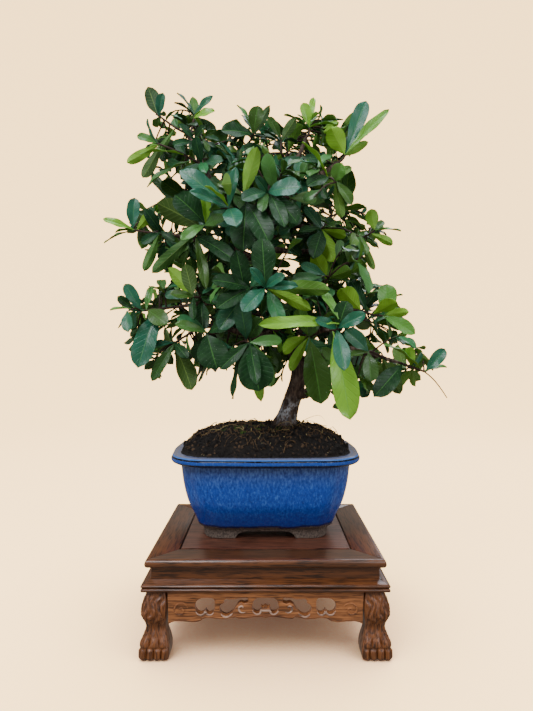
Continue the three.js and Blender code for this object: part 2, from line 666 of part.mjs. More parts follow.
const SHOOTS = {
  top_left_tip: shoot("upper_left", 0.99,
    [at(176, 128, -8), at(156, 114, -6)], 24, [[1, 2], [0.45, 1]], [
    leaf(1, at(148, 87, -2), 14, FACE.back),
    leaf(1, at(163, 93, -16), 9, FACE.front),
    leaf(0.6, at(150, 163, -20), 7, FACE.back),
  ]),
  top_left_crown: shoot("upper_left", 0.93,
    [at(192, 128, 0), at(195, 114, 4)], 22, [[1, 3], [0.4, 1]], [
    leaf(1, at(213, 96, 0), 7, FACE.front),
    leaf(1, at(177, 93, 2), 6, FACE.edge),
    leaf(1, at(193, 97, 10), 9, FACE.back),
    leaf(1, at(215, 111, -6), 8, FACE.front),
  ]),
  top_left_side: shoot("upper_left", 0.66,
    [at(178, 152, -20), at(156, 143, -22)], 26, [[1, 2], [0.35, 1]], [
    leaf(1, at(137, 136, -24), 8, FACE.front),
    leaf(1, at(127, 163, -28), 9, FACE.back),
    leaf(1, at(143, 178, -14), 10, FACE.back),
    leaf(0.5, at(140, 154, -42), 8, FACE.edge),
    leaf(0.35, at(147, 187, -34), 9, FACE.edge),
  ]),
  top_centre: shoot("top_back", 0.99, [at(250, 141, 12), at(254, 133, 8)], 25, [[1, 3], [0.5, 1]], [
    leaf(1, at(258, 106, 4), 14, FACE.front),
    leaf(1, at(237, 105, 6), 9, FACE.edge),
    leaf(1, at(221, 131, -4), 17, FACE.front),
    leaf(1, at(270, 106, 16), 8, FACE.back),
  ]),
  top_mid: shoot("top", 0.55, [at(282, 154, -14), at(281, 139, -14)], 22, [[1, 4], [0.5, 1]], [
    leaf(1, at(268, 117, -20), 8, FACE.front),
    leaf(1, at(296, 118, -14), 9, FACE.back),
  ]),
  top_right_centre: shoot("top", 0.99, [at(309, 133, 1), at(309, 126, 2)], 24, [[1, 3]], [
    leaf(1, at(303, 103, -2), 10, FACE.front),
    leaf(1, at(314, 98, 2), 7, FACE.edge),
    leaf(1, at(337, 124, -8), 8, FACE.edge),
    leaf(1, at(284, 115, -8), 8, FACE.edge),
  ]),
  top_right_tip: shoot("upper_right", 0.99,
    [at(342, 160, -7), at(346, 154, -6)], 25, [[1, 2]], [
    leaf(1, at(366, 101, 2), 14, FACE.front),
    leaf(1, at(389, 110, -8), 9, FACE.front),
    leaf(1, at(331, 128, -18), 17, FACE.back),
    leaf(1, at(368, 142, 4), 8, FACE.back),
  ]),
  top_right_side: shoot("upper_right", 0.62,
    [at(330, 178, -28), at(336, 182, -36)], 25, [[1, 2], [0.5, 1]], [
    leaf(1, at(341, 163, -46), 12, FACE.front),
    leaf(1, at(342, 218, -34), 9, FACE.back),
    leaf(0.5, at(302, 142, -44), 8, FACE.edge),
    leaf(0.6, at(307, 186, -46), 12, FACE.front),
  ]),
  upper_centre: shoot("upper_right", 0.33,
    [at(275, 192, -34), at(266, 193, -48)], 30, [[1, 2], [0.5, 1]], [
    leaf(1, at(301, 188, -62), 18, FACE.front),
    leaf(1, at(241, 200, -60), 12, FACE.front),
    leaf(1, at(298, 224, -60), 14, FACE.front),
    leaf(1, at(285, 228, -66), 12, FACE.front),
  ]),
  front_high_tip: shoot("front_high", 0.99,
    [at(232, 210, -54), at(228, 208, -60)], 27, [[1, 2]], [
    leaf(1, at(180, 170, -58), 15, FACE.front),
    leaf(1, at(236, 167, -64), 8, FACE.front),
    leaf(1, at(189, 191, -72), 9, FACE.front),
    leaf(1, at(205, 186, -78), 6, FACE.edge),
    leaf(1, at(236, 227, -80), 15, FACE.front),
  ]),
  front_high_side: shoot("front_high", 0.55, [at(247, 204, -44), at(243, 196, -54)], 28, [[1, 2]], [
    leaf(1, at(257, 147, -60), 12, FACE.back),
    leaf(1, at(282, 198, -74), 9, FACE.edge),
    leaf(0.7, at(243, 252, -58), 22, FACE.front),
    leaf(0.7, at(269, 243, -66), 19, FACE.front),
  ]),
  left_high_tip: shoot("left_high", 0.99,
    [at(146, 232, -6), at(132, 230, -5)], 18, [[1, 2], [0.6, 1]], [
    leaf(1, at(135, 198, -6), 12, FACE.front),
    leaf(1, at(103, 219, -8), 7, FACE.front),
    leaf(1, at(104, 243, -10), 6, FACE.edge),
    leaf(1, at(152, 212, -14), 9, FACE.back),
    leaf(0.2, at(144, 271, -12), 9, FACE.back),
  ]),
  left_high_big: shoot("left_high", 0.62, [at(200, 230, -26), at(206, 224, -32)], 30, [[1, 2]], [
    leaf(1, at(175, 195, -38), 22, FACE.front),
    leaf(0.7, at(157, 203, -26), 20, FACE.back),
    leaf(1, at(181, 241, -50), 10, FACE.front),
    leaf(1, at(226, 219, -46), 12, FACE.front),
    leaf(0.6, at(152, 273, -34), 11, FACE.back),
    leaf(0.4, at(206, 290, -36), 9, FACE.edge),
    leaf(0.4, at(236, 262, -48), 14, FACE.front),
  ]),
  left_mid_tip: shoot("left_mid", 0.99,
    [at(158, 309, -16), at(141, 311, -16)], 20, [[1, 2], [0.55, 1]], [
    leaf(1, at(125, 284, -18), 11, FACE.front),
    leaf(1, at(110, 310, -18), 8, FACE.edge),
    leaf(1, at(118, 328, -20), 8, FACE.edge),
    leaf(1, at(152, 287, -8), 7, FACE.edge),
    leaf(1, at(167, 325, -34), 15, FACE.front),
    leaf(0.7, at(138, 368, -34), 20, FACE.front),
  ]),
  left_mid_inner: shoot("left_mid", 0.72,
    [at(200, 298, -30), at(192, 297, -38)], 25, [[1, 2], [0.4, 1]], [
    leaf(1, at(185, 264, -32), 13, FACE.back),
    leaf(1, at(168, 268, -26), 12, FACE.back),
    leaf(1, at(170, 294, -50), 8, FACE.front),
    leaf(0.4, at(203, 331, -40), 13, FACE.front),
  ]),
  left_mid_front: shoot("left_mid", 0.38, [at(245, 298, -38), at(252, 287, -52)], 28, [[1, 2]], [
    leaf(1, at(216, 309, -66), 14, FACE.front),
    leaf(1, at(212, 280, -62), 13, FACE.front),
    leaf(1, at(219, 330, -60), 17, FACE.front),
    leaf(0.7, at(236, 250, -50), 16, FACE.front),
  ]),
  left_low_tip: shoot("left_low", 0.99,
    [at(184, 337, -22), at(173, 344, -22)], 23, [[1, 2], [0.4, 1]], [
    leaf(1, at(192, 390, -26), 17, FACE.back),
    leaf(1, at(188, 359, -36), 9, FACE.front),
    leaf(1, at(152, 381, -30), 10, FACE.front),
    leaf(1, at(158, 352, -8), 8, FACE.edge),
  ]),
  left_low_front: shoot("left_low", 0.6, [at(214, 334, -34), at(206, 333, -42)], 30, [[1, 2]], [
    leaf(1, at(217, 369, -50), 25, FACE.front),
    leaf(1, at(197, 362, -30), 14, FACE.front),
    leaf(1, at(240, 318, -60), 14, FACE.front),
  ]),
  front_left_tip: shoot("front_left", 0.99, [at(246, 341, -54), at(250, 343, -60)], 32, [[1, 1]], [
    leaf(1, at(259, 391, -64), 28, FACE.front),
    leaf(1, at(220, 369, -62), 11, FACE.front),
    leaf(1, at(233, 399, -52), 8, FACE.edge),
    leaf(0.5, at(240, 301, -70), 14, FACE.front),
    leaf(0.3, at(257, 385, -80), 10, FACE.front),
    leaf(0.3, at(272, 387, -46), 14, FACE.front),
    leaf(0.3, at(261, 402, -38), 10, FACE.back),
    leaf(0.3, at(262, 318, -60), 14, FACE.front),
  ]),
  front_mid_tip: shoot("front_mid", 0.99, [at(266, 289, -62), at(265, 288, -66)], 26, [[1, 2]], [
    leaf(1, at(250, 268, -80), 8, FACE.front),
    leaf(1, at(285, 275, -80), 9, FACE.front),
    leaf(1, at(298, 286, -78), 8, FACE.front),
    leaf(1, at(242, 312, -82), 13, FACE.front),
    leaf(1, at(262, 238, -68), 19, FACE.front),
    leaf(0.3, at(311, 310, -62), 10, FACE.back),
    leaf(0.3, at(282, 326, -66), 12, FACE.front),
    leaf(0.3, at(330, 290, -64), 13, FACE.back),
  ]),
  front_low_tip: shoot("front_low", 0.99,
    [at(335, 330, -56), at(338, 327, -60), at(338, 317, -64)], 28, [[1, 1]], [
    leaf(0.6, at(347, 301, -62), 15, FACE.front),
    leaf(0.6, at(366, 314, -70), 11, FACE.front),
    leaf(0.6, at(315, 320, -74), 9, FACE.front),
    leaf(0.6, at(344, 371, -78), 13, FACE.front),
    leaf(1, at(258, 325, -84), 10, FACE.front),
    leaf(0.4, at(350, 420, -62), 21, FACE.front),
  ]),
  front_low_side: shoot("front_low", 0.5, [at(308, 336, -34), at(309, 337, -42)], 26, [[1, 2]], [
    leaf(1, at(321, 404, -48), 22, FACE.front),
    leaf(1, at(290, 371, -44), 9, FACE.back),
    leaf(1, at(298, 309, -58), 12, FACE.back),
    leaf(0.7, at(283, 352, -52), 12, FACE.back),
  ]),
  right_low_tip: shoot("right_low", 0.99,
    [at(414, 368, -24), at(426, 372, -23)], 22, [[1, 1], [0.4, 1]], [
    leaf(1, at(445, 349, -24), 11, FACE.front),
    leaf(1, at(447, 367, -22), 7, FACE.edge),
    leaf(0.1, at(374, 397, -42), 17, FACE.front),
    leaf(0.6, at(409, 347, -30), 9, FACE.back),
    leaf(1, at(384, 344, -34), 9, FACE.edge),
  ]),
  right_low_mid: shoot("right_low", 0.8,
    [at(372, 352, -36), at(368, 352, -42)], 25, [[1, 1]], [
    leaf(1, at(371, 382, -48), 13, FACE.front),
    leaf(1, at(345, 330, -46), 14, FACE.front),
    leaf(0.1, at(400, 394, -28), 13, FACE.back),
    leaf(0.15, at(356, 392, 14), 13, FACE.back),
    leaf(0.15, at(332, 392, 6), 12, FACE.front),
  ]),
  right_mid_tip: shoot("right_mid", 0.99,
    [at(374, 315, -16), at(386, 316, -18)], 22, [[1, 1], [0.4, 1]], [
    leaf(1, at(387, 284, -18), 17, FACE.front),
    leaf(0.5, at(397, 302, -30), 13, FACE.back),
    leaf(1, at(409, 312, -16), 9, FACE.back),
    leaf(1, at(415, 334, -24), 12, FACE.front),
    leaf(0.1, at(341, 289, -26), 16, FACE.back),
    leaf(0.5, at(350, 279, -10), 10, FACE.front),
  ]),
  right_mid_up: shoot("right_mid", 0.5,
    [at(322, 288, -18), at(328, 278, -24)], 27, [[1, 4], [0.5, 1]], [
    leaf(1, at(351, 270, -34), 13, FACE.back),
    leaf(1, at(314, 254, -30), 14, FACE.back),
  ]),
  right_high_tip: shoot("right_high", 0.99,
    [at(366, 236, 9), at(375, 230, 6)], 18, [[1, 2], [0.5, 1]], [
    leaf(1, at(371, 209, 2), 12, FACE.back),
    leaf(1, at(401, 231, 6), 7, FACE.edge),
    leaf(0.8, at(393, 244, -6), 8, FACE.back),
    leaf(0.8, at(349, 221, -2), 6, FACE.edge),
    leaf(0.5, at(374, 270, 0), 7, FACE.back),
  ]),
  right_high_front: shoot("right_high", 0.5,
    [at(322, 238, -6), at(322, 228, -18)], 28, [[1, 4], [0.5, 1]], [
    leaf(1, at(333, 262, -26), 15, FACE.back),
    leaf(1, at(346, 236, -26), 9, FACE.back),
    leaf(1, at(313, 259, -34), 14, FACE.front),
  ]),
  back_low_left_tip: shoot("back_low_left", 0.99,
    [at(206, 318, 74), at(192, 322, 80)], 40, [[1, 6], [0.6, 3]], []),
  back_low_right_tip: shoot("back_low_right", 0.99,
    [at(364, 320, 70), at(376, 324, 78)], 40, [[1, 6], [0.6, 3]], []),
  back_mid_tip: shoot("back_mid", 0.99,
    [at(262, 262, 78), at(264, 266, 88)], 40, [[1, 6], [0.6, 3]], []),
  back_right_tip: shoot("back_right", 0.99,
    [at(336, 214, 66), at(346, 208, 74)], 40, [[1, 6], [0.6, 3]], []),
  back_left_tip: shoot("back_left", 0.99,
    [at(192, 202, 62), at(176, 202, 68)], 40, [[1, 6], [0.6, 3]], []),
  back_top_tip: shoot("back_top", 0.99,
    [at(288, 152, 50), at(290, 144, 56)], 34, [[1, 6], [0.6, 3]], []),
};
const TWIG_RADII = [1.25, 0.85];
const TWIG_SIDES = 4;
const TWIG_STEPS = 2;
const ROOT_DEPTH = 0.6;           // how far a leaf's root passes the twig's axis
const NODE_STEP = 0.045;          // share of the twig between a leaf and the next

// The crown's outline in the front view, as [across, down].
const CROWN_OUTLINE = [
  [146, 86], [170, 90], [215, 94], [240, 102], [262, 103], [300, 96], [318, 98],
  [345, 104], [368, 99], [391, 110], [372, 145], [352, 165], [348, 200], [374, 206],
  [402, 230], [396, 246], [368, 264], [374, 283], [400, 284], [412, 310], [416, 336],
  [447, 349], [440, 374], [405, 394], [372, 400], [352, 420], [320, 404], [275, 402],
  [246, 400], [225, 374], [194, 392], [176, 378], [152, 384], [130, 368], [120, 332],
  [108, 312], [122, 284], [148, 284], [160, 270], [148, 256], [128, 246], [102, 240],
  [102, 218], [128, 198], [150, 200], [160, 190], [140, 182], [124, 162], [138, 140],
];

const SMALL_STATIONS = [[0.4, 0.8], [0.76, 1]];
const LARGE_STATIONS = [[0.3, 0.54], [0.62, 1], [0.87, 0.76]];
const NARROW = 11;                // leaves up to this width have the fewer stations

/** A repeatable source of random numbers from 0 to 1. */
function seeded(seed) {
  let state = seed;
  return () => {
    state = (state + 0x6d2b79f5) | 0;
    let t = Math.imul(state ^ (state >>> 15), 1 | state);
    t = (t + Math.imul(t ^ (t >>> 7), 61 | t)) ^ t;
    return ((t ^ (t >>> 14)) >>> 0) / 4294967296;
  };
}

const random = seeded(41);
const between = (low, high) => low + (high - low) * random();

/** The blade from a root to a tip: its axes, its stations and its points. */
class Blade {
  constructor(root, tip, width, upper, stations) {
    this.root = root;
    this.length = root.distanceTo(tip);
    this.along = tip.clone().sub(root).divideScalar(this.length);
    this.side = new THREE.Vector3().crossVectors(this.along, upper).normalize();
    this.up = new THREE.Vector3().crossVectors(this.side, this.along);
    this.half = width / 2;
    this.stations = stations;
  }

  /** A point at a share of the length, across from -1 to 1, lifted off the middle. */
  point(share, across, lift = 0, widthShare = this.widthShare(share)) {
    const half = this.half * widthShare * across;
    const arch = LEAF_BOW * this.length * 4 * share * (1 - share);
    return this.root.clone()
      .addScaledVector(this.along, this.length * share)
      .addScaledVector(this.side, half * Math.cos(LEAF_FOLD))
      .addScaledVector(this.up, arch + Math.abs(half) * Math.sin(LEAF_FOLD) + lift);
  }

  /** Half the width at a share of the length, as a share of the widest. */
  widthShare(share) {
    const knots = [[0, 0], ...this.stations, [1, 0]];
    const i = knots.findIndex(([s], k) => k > 0 && share <= s + 1e-9);
    const [[s0, w0], [s1, w1]] = [knots[i - 1], knots[i]];
    return THREE.MathUtils.mapLinear(share, s0, s1, w0, w1);
  }

  /** Thin copies of the blade's middle face, as triangles, from a share onward. */
  layers(from, lifts, spread) {
    const triangles = [];
    for (const lift of lifts) {
      const rows = [[from, this.widthShare(from)], ...this.stations, [1, 0]]
        .filter(([share]) => share >= from)
        .map(([share, width]) => [-1, 0, 1].map(
          (across) => this.point(share, across * spread, lift, width),
        ));
      for (let i = 0; i + 1 < rows.length; i += 1) {
        for (const k of [0, 1]) {
          triangles.push([rows[i][k], rows[i][k + 1], rows[i + 1][k + 1]]);
          triangles.push([rows[i][k], rows[i + 1][k + 1], rows[i + 1][k]]);
        }
      }
    }
    return triangles;
  }

  /** The closed blade, thickest along its rib, both faces split alike. */
  solid() {
    const points = [this.root];
    for (const [share] of this.stations) {
      const thick = RIB_THICKNESS / 2;
      points.push(this.point(share, -1), this.point(share, 1));
      points.push(this.point(share, 0, thick), this.point(share, 0, -thick));
    }
    const tip = points.push(this.point(1, 0)) - 1;
    const index = [];
    const both = (a, b, c) => {
      const under = (corner) => (corner > 0 && corner < tip && corner % 4 === 3
        ? corner + 1 : corner);
      index.push(a, b, c, under(a), under(c), under(b));
    };
    both(0, 2, 3);
    both(0, 3, 1);
    for (let left = 1; left + 4 < tip; left += 4) {
      both(left + 2, left + 1, left + 5);
      both(left + 2, left + 5, left + 6);
      both(left, left + 2, left + 6);
      both(left, left + 6, left + 4);
    }
    both(tip - 2, tip - 3, tip);
    both(tip - 4, tip - 2, tip);
    const geometry = new THREE.BufferGeometry().setFromPoints(points);
    geometry.setIndex(index);
    return toSolid(geometry);
  }
}

/** Whether the stretch from a to b passes through a triangle. */
function passesThrough(a, b, [p, q, r]) {
  const way = b.clone().sub(a);
  const e1 = q.clone().sub(p);
  const e2 = r.clone().sub(p);
  const h = way.clone().cross(e2);
  const det = e1.dot(h);
  if (Math.abs(det) < 1e-12) return false;
  const s = a.clone().sub(p);
  const u = s.dot(h) / det;
  if (u < 0 || u > 1) return false;
  const k = s.cross(e1);
  const v = way.dot(k) / det;
  if (v < 0 || u + v > 1) return false;
  const t = e2.dot(k) / det;
  return t >= 0 && t <= 1;
}

/** Whether two sets of triangles cross. */
function cross(some, others) {
  const pierces = (from, into) => from.some(([p, q, r]) => into.some((face) => (
    passesThrough(p, q, face) || passesThrough(q, r, face) || passesThrough(r, p, face)
  )));
  return pierces(some, others) || pierces(others, some);
}

/** Straight stretches of a tube, each with its thickest radius and its owner. */
function stretches(owner, curve, radii, steps) {
  const points = curve.getPoints(steps);
  return points.slice(1).map((end, i) => ({
    owner, line: new THREE.Line3(points[i], end), radius: along(radii, i / steps),
  }));
}

const TUBES = [
  ...stretches(null, curveThrough(TRUNK.points), TRUNK.radii, TRUNK_STEPS),
  ...[...Object.values(LIMBS), ...STUBS].flatMap(
    ({ curve, radii }) => stretches(null, curve, radii, LIMB_STEPS),
  ),
  ...Object.values(SHOOTS).flatMap(
    (owner) => stretches(owner, owner.twig, TWIG_RADII, TWIG_STEPS),
  ),
];
const WOOD_CLEARANCE = 1;

/** Whether a blade of a shoot keeps clear of the limbs and of every twig. */
function clearOfWood(blade, owner) {
  const nearest = new THREE.Vector3();
  const samples = [];
  for (const share of [0.2, 0.4, 0.6, 0.8, 1]) {
    for (const across of [-1, 0, 1]) {
      samples.push({ share, point: blade.point(share, across) });
    }
  }
  return TUBES.every(({ owner: other, line, radius }) => samples.every(({ share, point }) => {
    if (share < 0.35 && (other === owner || other === null)) return true;
    line.closestPointToPoint(point, true, nearest);
    return nearest.distanceTo(point) > radius + WOOD_CLEARANCE;
  }));
}

const placed = [];                // blades already in the crown
const OWN_START = 0.3;            // from here on, blades of one shoot keep apart

/** Whether a blade keeps clear of every blade already placed. */
function clearOfLeaves(blade, owner) {
  const middle = blade.point(0.5, 0);
  const reach = blade.length / 2 + 3;
  let wide = null;
  let own = null;
  return placed.every((other) => {
    if (middle.distanceTo(other.middle) > reach + other.reach) return true;
    if (other.owner === owner) {
      own ??= blade.layers(OWN_START, [-0.7, 0.7], 1.05);
      return !cross(own, other.ownFaces);
    }
    wide ??= blade.layers(0, [-LEAF_SPACE, 0, LEAF_SPACE], 1.15);
    return !cross(wide, other.faces);
  });
}

/** Puts a blade into the crown. */
function place(blade, owner, large) {
  placed.push({
    blade, owner, large,
    middle: blade.point(0.5, 0),
    reach: blade.length / 2 + 3,
    faces: blade.layers(0, [0], 1),
    ownFaces: blade.layers(OWN_START, [0], 1),
    from: seen(blade.root),
    to: seen(blade.point(1, 0)),
  });
}

/** The point on a shoot's twig where a leaf's root is sunk. */
function rootOf(base, towards) {
  return base.clone().addScaledVector(towards.clone().sub(base).normalize(), -ROOT_DEPTH);
}

/** The point of a twig's axis for the leaf of this rank at a share of the way. */
function node(owner, share, rank) {
  return owner.twig.getPoint(Math.max(0.12, Math.min(share, 0.97) - rank * NODE_STEP));
}

/** Places a large leaf, moved back or forth and turned until it is clear. */
function placeLarge(owner, { share, tip, width, face }, rank) {
  const spot = seen(tip);
  const stations = width > NARROW ? LARGE_STATIONS : SMALL_STATIONS;
  for (const size of [1, 0.9, 0.8]) {
    for (const turn of [0, 0.3, -0.3, 0.6, -0.6]) {
      for (const shift of [0, -4, 4, -8, 8, -12, 12, -17, 17, -22, 22]) {
        const end = at(spot.x, spot.y, tip.y + shift);
        const base = node(owner, share, rank);
        end.lerpVectors(base, end, size);
        const root = rootOf(base, end);
        const axis = end.clone().sub(root).normalize();
        const upper = face.clone().applyAxisAngle(axis, turn);
        const blade = new Blade(root, end, width * size, upper, stations);
        if (clearOfWood(blade, owner) && clearOfLeaves(blade, owner)) {
          place(blade, owner, true);
          return;
        }
      }
    }
  }
}

/** Whether a blade lies in the crown's outline and in front of no large leaf's middle. */
function leavesViewOpen(blade) {
  const spots = [0.4, 0.7, 1].map((share) => blade.point(share, 0));
  const hull = CROWN_OUTLINE;
  return spots.every((spot) => {
    const view = seen(spot);
    let inside = false;
    hull.forEach(([x, y], i) => {
      const [x2, y2] = hull[(i + 1) % hull.length];
      if ((y > view.y) !== (y2 > view.y)
        && view.x < x + ((view.y - y) / (y2 - y)) * (x2 - x)) inside = !inside;
    });
    return inside && placed.every((other) => {
      if (!other.large || spot.y > other.middle.y) return true;
      const way = other.to.clone().sub(other.from);
      const share = THREE.MathUtils.clamp(
        view.clone().sub(other.from).dot(way) / way.lengthSq(), 0, 1,
      );
      const apart = view.distanceTo(other.from.clone().addScaledVector(way, share));
      return apart * VIEW_UNIT > other.blade.half * 0.8;
    });
  });
}

const TRIES = 40;

/** Places one whorl of small leaves round a shoot's twig. */
function placeWhorl(owner, share, count) {
  const axis = owner.twig.getTangent(Math.min(share, 0.97));
  const outward = new THREE.Vector3(axis.y, -axis.x, 0.2).cross(axis).normalize();
  const phase = between(0, Math.PI * 2);
  for (let i = 0; i < count; i += 1) {
    for (let tries = 0; tries < TRIES; tries += 1) {
      const turn = phase + i * GOLDEN_ANGLE + between(-1, 1) * (0.2 + tries * 0.08);
      const spread = share > 0.9 ? between(0.35, 1.35) : between(0.75, 1.4);
      const length = owner.size * between(0.72, 1.08) * (0.7 + 0.3 * Math.sin(spread));
      const way = axis.clone().multiplyScalar(Math.cos(spread))
        .addScaledVector(outward.clone().applyAxisAngle(axis, turn), Math.sin(spread));
      way.z -= 0.12;
      const base = node(owner, share, i + 0.5);
      const tip = base.clone().addScaledVector(way.normalize(), length);
      const upper = axis.clone().addScaledVector(new THREE.Vector3(0, -0.4, 0.6), 1);
      const width = length * LEAF_WIDTH * between(0.85, 1.2);
      const blade = new Blade(rootOf(base, tip), tip, width, upper, SMALL_STATIONS);
      if (leavesViewOpen(blade) && clearOfWood(blade, owner) && clearOfLeaves(blade, owner)) {
        place(blade, owner, false);
        break;
      }
    }
  }
}

for (const owner of Object.values(SHOOTS)) {
  owner.leaves.forEach((large, rank) => placeLarge(owner, large, rank));
}
for (const owner of Object.values(SHOOTS)) {
  for (const [share, count] of owner.whorls) placeWhorl(owner, share, count);
}

const clearedWood = wood(GAP);
for (const [name, owner] of Object.entries(SHOOTS)) {
  const twig = tube(owner.twig, (t) => along(TWIG_RADII, t), TWIG_SIDES, TWIG_STEPS);
  const blades = placed.filter((other) => other.owner === owner);
  const whole = blades.reduce((sum, { blade }) => sum.add(blade.solid()), toSolid(twig));
  const cut = largestBody(whole.subtract(clearedWood));
  addPiece(`shoot_${name}`, toGeometry(cut), FINISH.leaf);
}

// The origin lies under the middle of the whole object, on the surface it stands on.
const middle = new THREE.Box3().setFromObject(group).getCenter(new THREE.Vector3());
group.position.set(-middle.x, -middle.y, 0);

export default group;
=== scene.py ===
"""Dresses a scarlet firethorn bonsai: its leaves, bark, soil, glazed pot and carved stand.

All sizes are in millimetres and are turned to metres where a mesh is made. The front faces -Y.
"""

import logging
from math import atan2, copysign, cos, exp, floor, hypot, pi, radians, sin, sqrt, tau
from dataclasses import dataclass, field
from enum import Enum
from random import Random
from typing import Callable, Iterable, Sequence

import bmesh
import bpy
from mathutils import Matrix, Vector, noise
from mathutils.bvhtree import BVHTree


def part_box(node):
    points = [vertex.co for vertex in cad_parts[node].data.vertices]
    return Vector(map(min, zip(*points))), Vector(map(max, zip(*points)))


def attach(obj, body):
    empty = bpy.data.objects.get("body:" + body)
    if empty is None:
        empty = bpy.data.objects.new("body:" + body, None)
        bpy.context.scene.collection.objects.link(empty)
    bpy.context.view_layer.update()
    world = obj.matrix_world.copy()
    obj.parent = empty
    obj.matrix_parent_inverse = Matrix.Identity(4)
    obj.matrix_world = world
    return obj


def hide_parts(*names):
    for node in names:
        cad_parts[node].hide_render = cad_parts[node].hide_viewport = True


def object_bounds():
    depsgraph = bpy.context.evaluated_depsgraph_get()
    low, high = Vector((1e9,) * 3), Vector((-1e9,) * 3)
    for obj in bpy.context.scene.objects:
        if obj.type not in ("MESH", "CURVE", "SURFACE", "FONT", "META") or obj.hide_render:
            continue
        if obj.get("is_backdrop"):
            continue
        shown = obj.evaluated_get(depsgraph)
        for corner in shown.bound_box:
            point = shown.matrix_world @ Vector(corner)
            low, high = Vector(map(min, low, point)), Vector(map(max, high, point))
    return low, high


LOG = logging.getLogger("bonsai")
MM = 0.001
BODY = "root"
TONE = "tone"

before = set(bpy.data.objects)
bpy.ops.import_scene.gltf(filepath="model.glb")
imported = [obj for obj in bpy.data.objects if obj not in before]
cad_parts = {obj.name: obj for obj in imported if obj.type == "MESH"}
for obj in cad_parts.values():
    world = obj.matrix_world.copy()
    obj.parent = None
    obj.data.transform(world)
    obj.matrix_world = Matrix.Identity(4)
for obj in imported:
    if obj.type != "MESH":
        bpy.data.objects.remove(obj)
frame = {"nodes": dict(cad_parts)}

Node = bpy.types.Node
Socket = bpy.types.NodeSocket
Tree = bpy.types.NodeTree
Material = bpy.types.Material
Piece = bpy.types.Object
Point = tuple[float, float, float]
Outline = list[tuple[float, float]]
Skin = tuple[list, list]

RAMP = "ShaderNodeValToRGB"
RANGE = "ShaderNodeMapRange"
MATH = "ShaderNodeMath"
MIX = "ShaderNodeMix"
BUMP = "ShaderNodeBump"
SPLIT = "ShaderNodeSeparateXYZ"


# Shared helpers


def linear(colour: str) -> tuple[float, float, float, float]:
    """Turns an sRGB hex colour into a linear one.

    Args:
        colour: The colour as "#rrggbb".

    Returns:
        Linear red, green, blue and an alpha of 1.
    """
    parts = [int(colour[i:i + 2], 16) / 255 for i in (1, 3, 5)]
    low = [c / 12.92 if c <= 0.04045 else ((c + 0.055) / 1.055) ** 2.4 for c in parts]
    return low[0], low[1], low[2], 1.0


def wire(node: Node, inputs: dict) -> None:
    """Gives a node's inputs their values or links.

    Args:
        node: The node.
        inputs: Numbers, hex colours, sockets, or nodes that stand for their first output in
            use, by the input's name or number.
    """
    for key, value in inputs.items():
        if isinstance(value, Node):
            value = next(output for output in value.outputs if output.enabled)
        if isinstance(value, Socket):
            node.id_data.links.new(value, node.inputs[key])
        else:
            node.inputs[key].default_value = linear(value) if isinstance(value, str) else value


@dataclass
class Net:
    """A net of nodes in the making; a material's has the piece's own coordinates in metres."""

    tree: Tree
    place: Socket | None = None

    def add(self, kind: str, inputs: dict | None = None,
            stops: Sequence[tuple[float, str]] = (), **settings) -> Node:
        """Adds a node, with its settings and the values or links of its inputs.

        Args:
            kind: The node's type name.
            inputs: What goes into it, as `wire` takes it.
            stops: A colour ramp's places from 0 to 1, each with its hex colour.
            settings: The node's own properties.

        Returns:
            The new node.
        """
        made = self.tree.nodes.new(kind)
        for name, value in settings.items():
            setattr(made, name, value)
        wire(made, inputs or {})
        if stops:
            elements = made.color_ramp.elements
            while len(elements) < len(stops):
                elements.new(0.5)
            for element, (place, colour) in zip(elements, stops):
                element.position, element.color = place, linear(colour)
        return made

    def pattern(self, size: float, stretch: Point = (1, 1, 1), detail: float = 3.0,
                rough: float = 0.5) -> Node:
        """A noise whose features have a real size.

        Args:
            size: The size of one feature in millimetres.
            stretch: How many times longer it is along each axis.
            detail: Octaves of finer noise.
            rough: How strong the finer octaves are.

        Returns:
            The noise.
        """
        scaled = self.add("ShaderNodeMapping", {0: self.place, 3: [1 / s for s in stretch]})
        return self.add("ShaderNodeTexNoise", {
            "Vector": scaled, "Scale": 1 / (size * MM), "Detail": detail, "Roughness": rough})

    def overlay(self, under: Node, over: Node | str, driver: Node | Socket, low: float,
                high: float, most: float = 1.0) -> Node:
        """Lays one colour over another as a value goes from a low to a high limit.

        Args:
            under: The colour below.
            over: The colour on top.
            driver: The value.
            low: The value at which nothing of the upper colour shows.
            high: The value at which it shows most.
            most: Its share there.

        Returns:
            The mixed colour.
        """
        share = self.add(RANGE, {0: driver, 1: low, 2: high, 4: most})
        return self.add(MIX, {0: share, 6: under, 7: over}, data_type="RGBA")


def new_object(name: str, data: bpy.types.ID) -> Piece:
    """Makes an object of its data and links it to the scene."""
    made = bpy.data.objects.new(name, data)
    bpy.context.scene.collection.objects.link(made)
    return made


def mesh_object(name: str, points: Iterable[Sequence[float]], faces: Sequence[Sequence[int]],
                centre: Vector = Vector()) -> Piece:
    """Makes a mesh object from points in millimetres.

    Args:
        name: The object's name.
        points: The corners.
        faces: The corners of each face, by number.
        centre: What the points are measured from.

    Returns:
        The object, linked to the scene.
    """
    mesh = bpy.data.meshes.new(name)
    mesh.from_pydata([(Vector(p) + centre) * MM for p in points], [], faces)
    mesh.update()
    return new_object(name, mesh)


def evaluated(source: Piece) -> bpy.types.Mesh:
    """A plain mesh of a curve, or of an object with its modifiers."""
    graph = bpy.context.evaluated_depsgraph_get()
    return bpy.data.meshes.new_from_object(source.evaluated_get(graph))


def apply_modifiers(target: Piece) -> None:
    """Turns an object with modifiers into a plain mesh."""
    mesh = evaluated(target)
    target.modifiers.clear()
    target.data = mesh


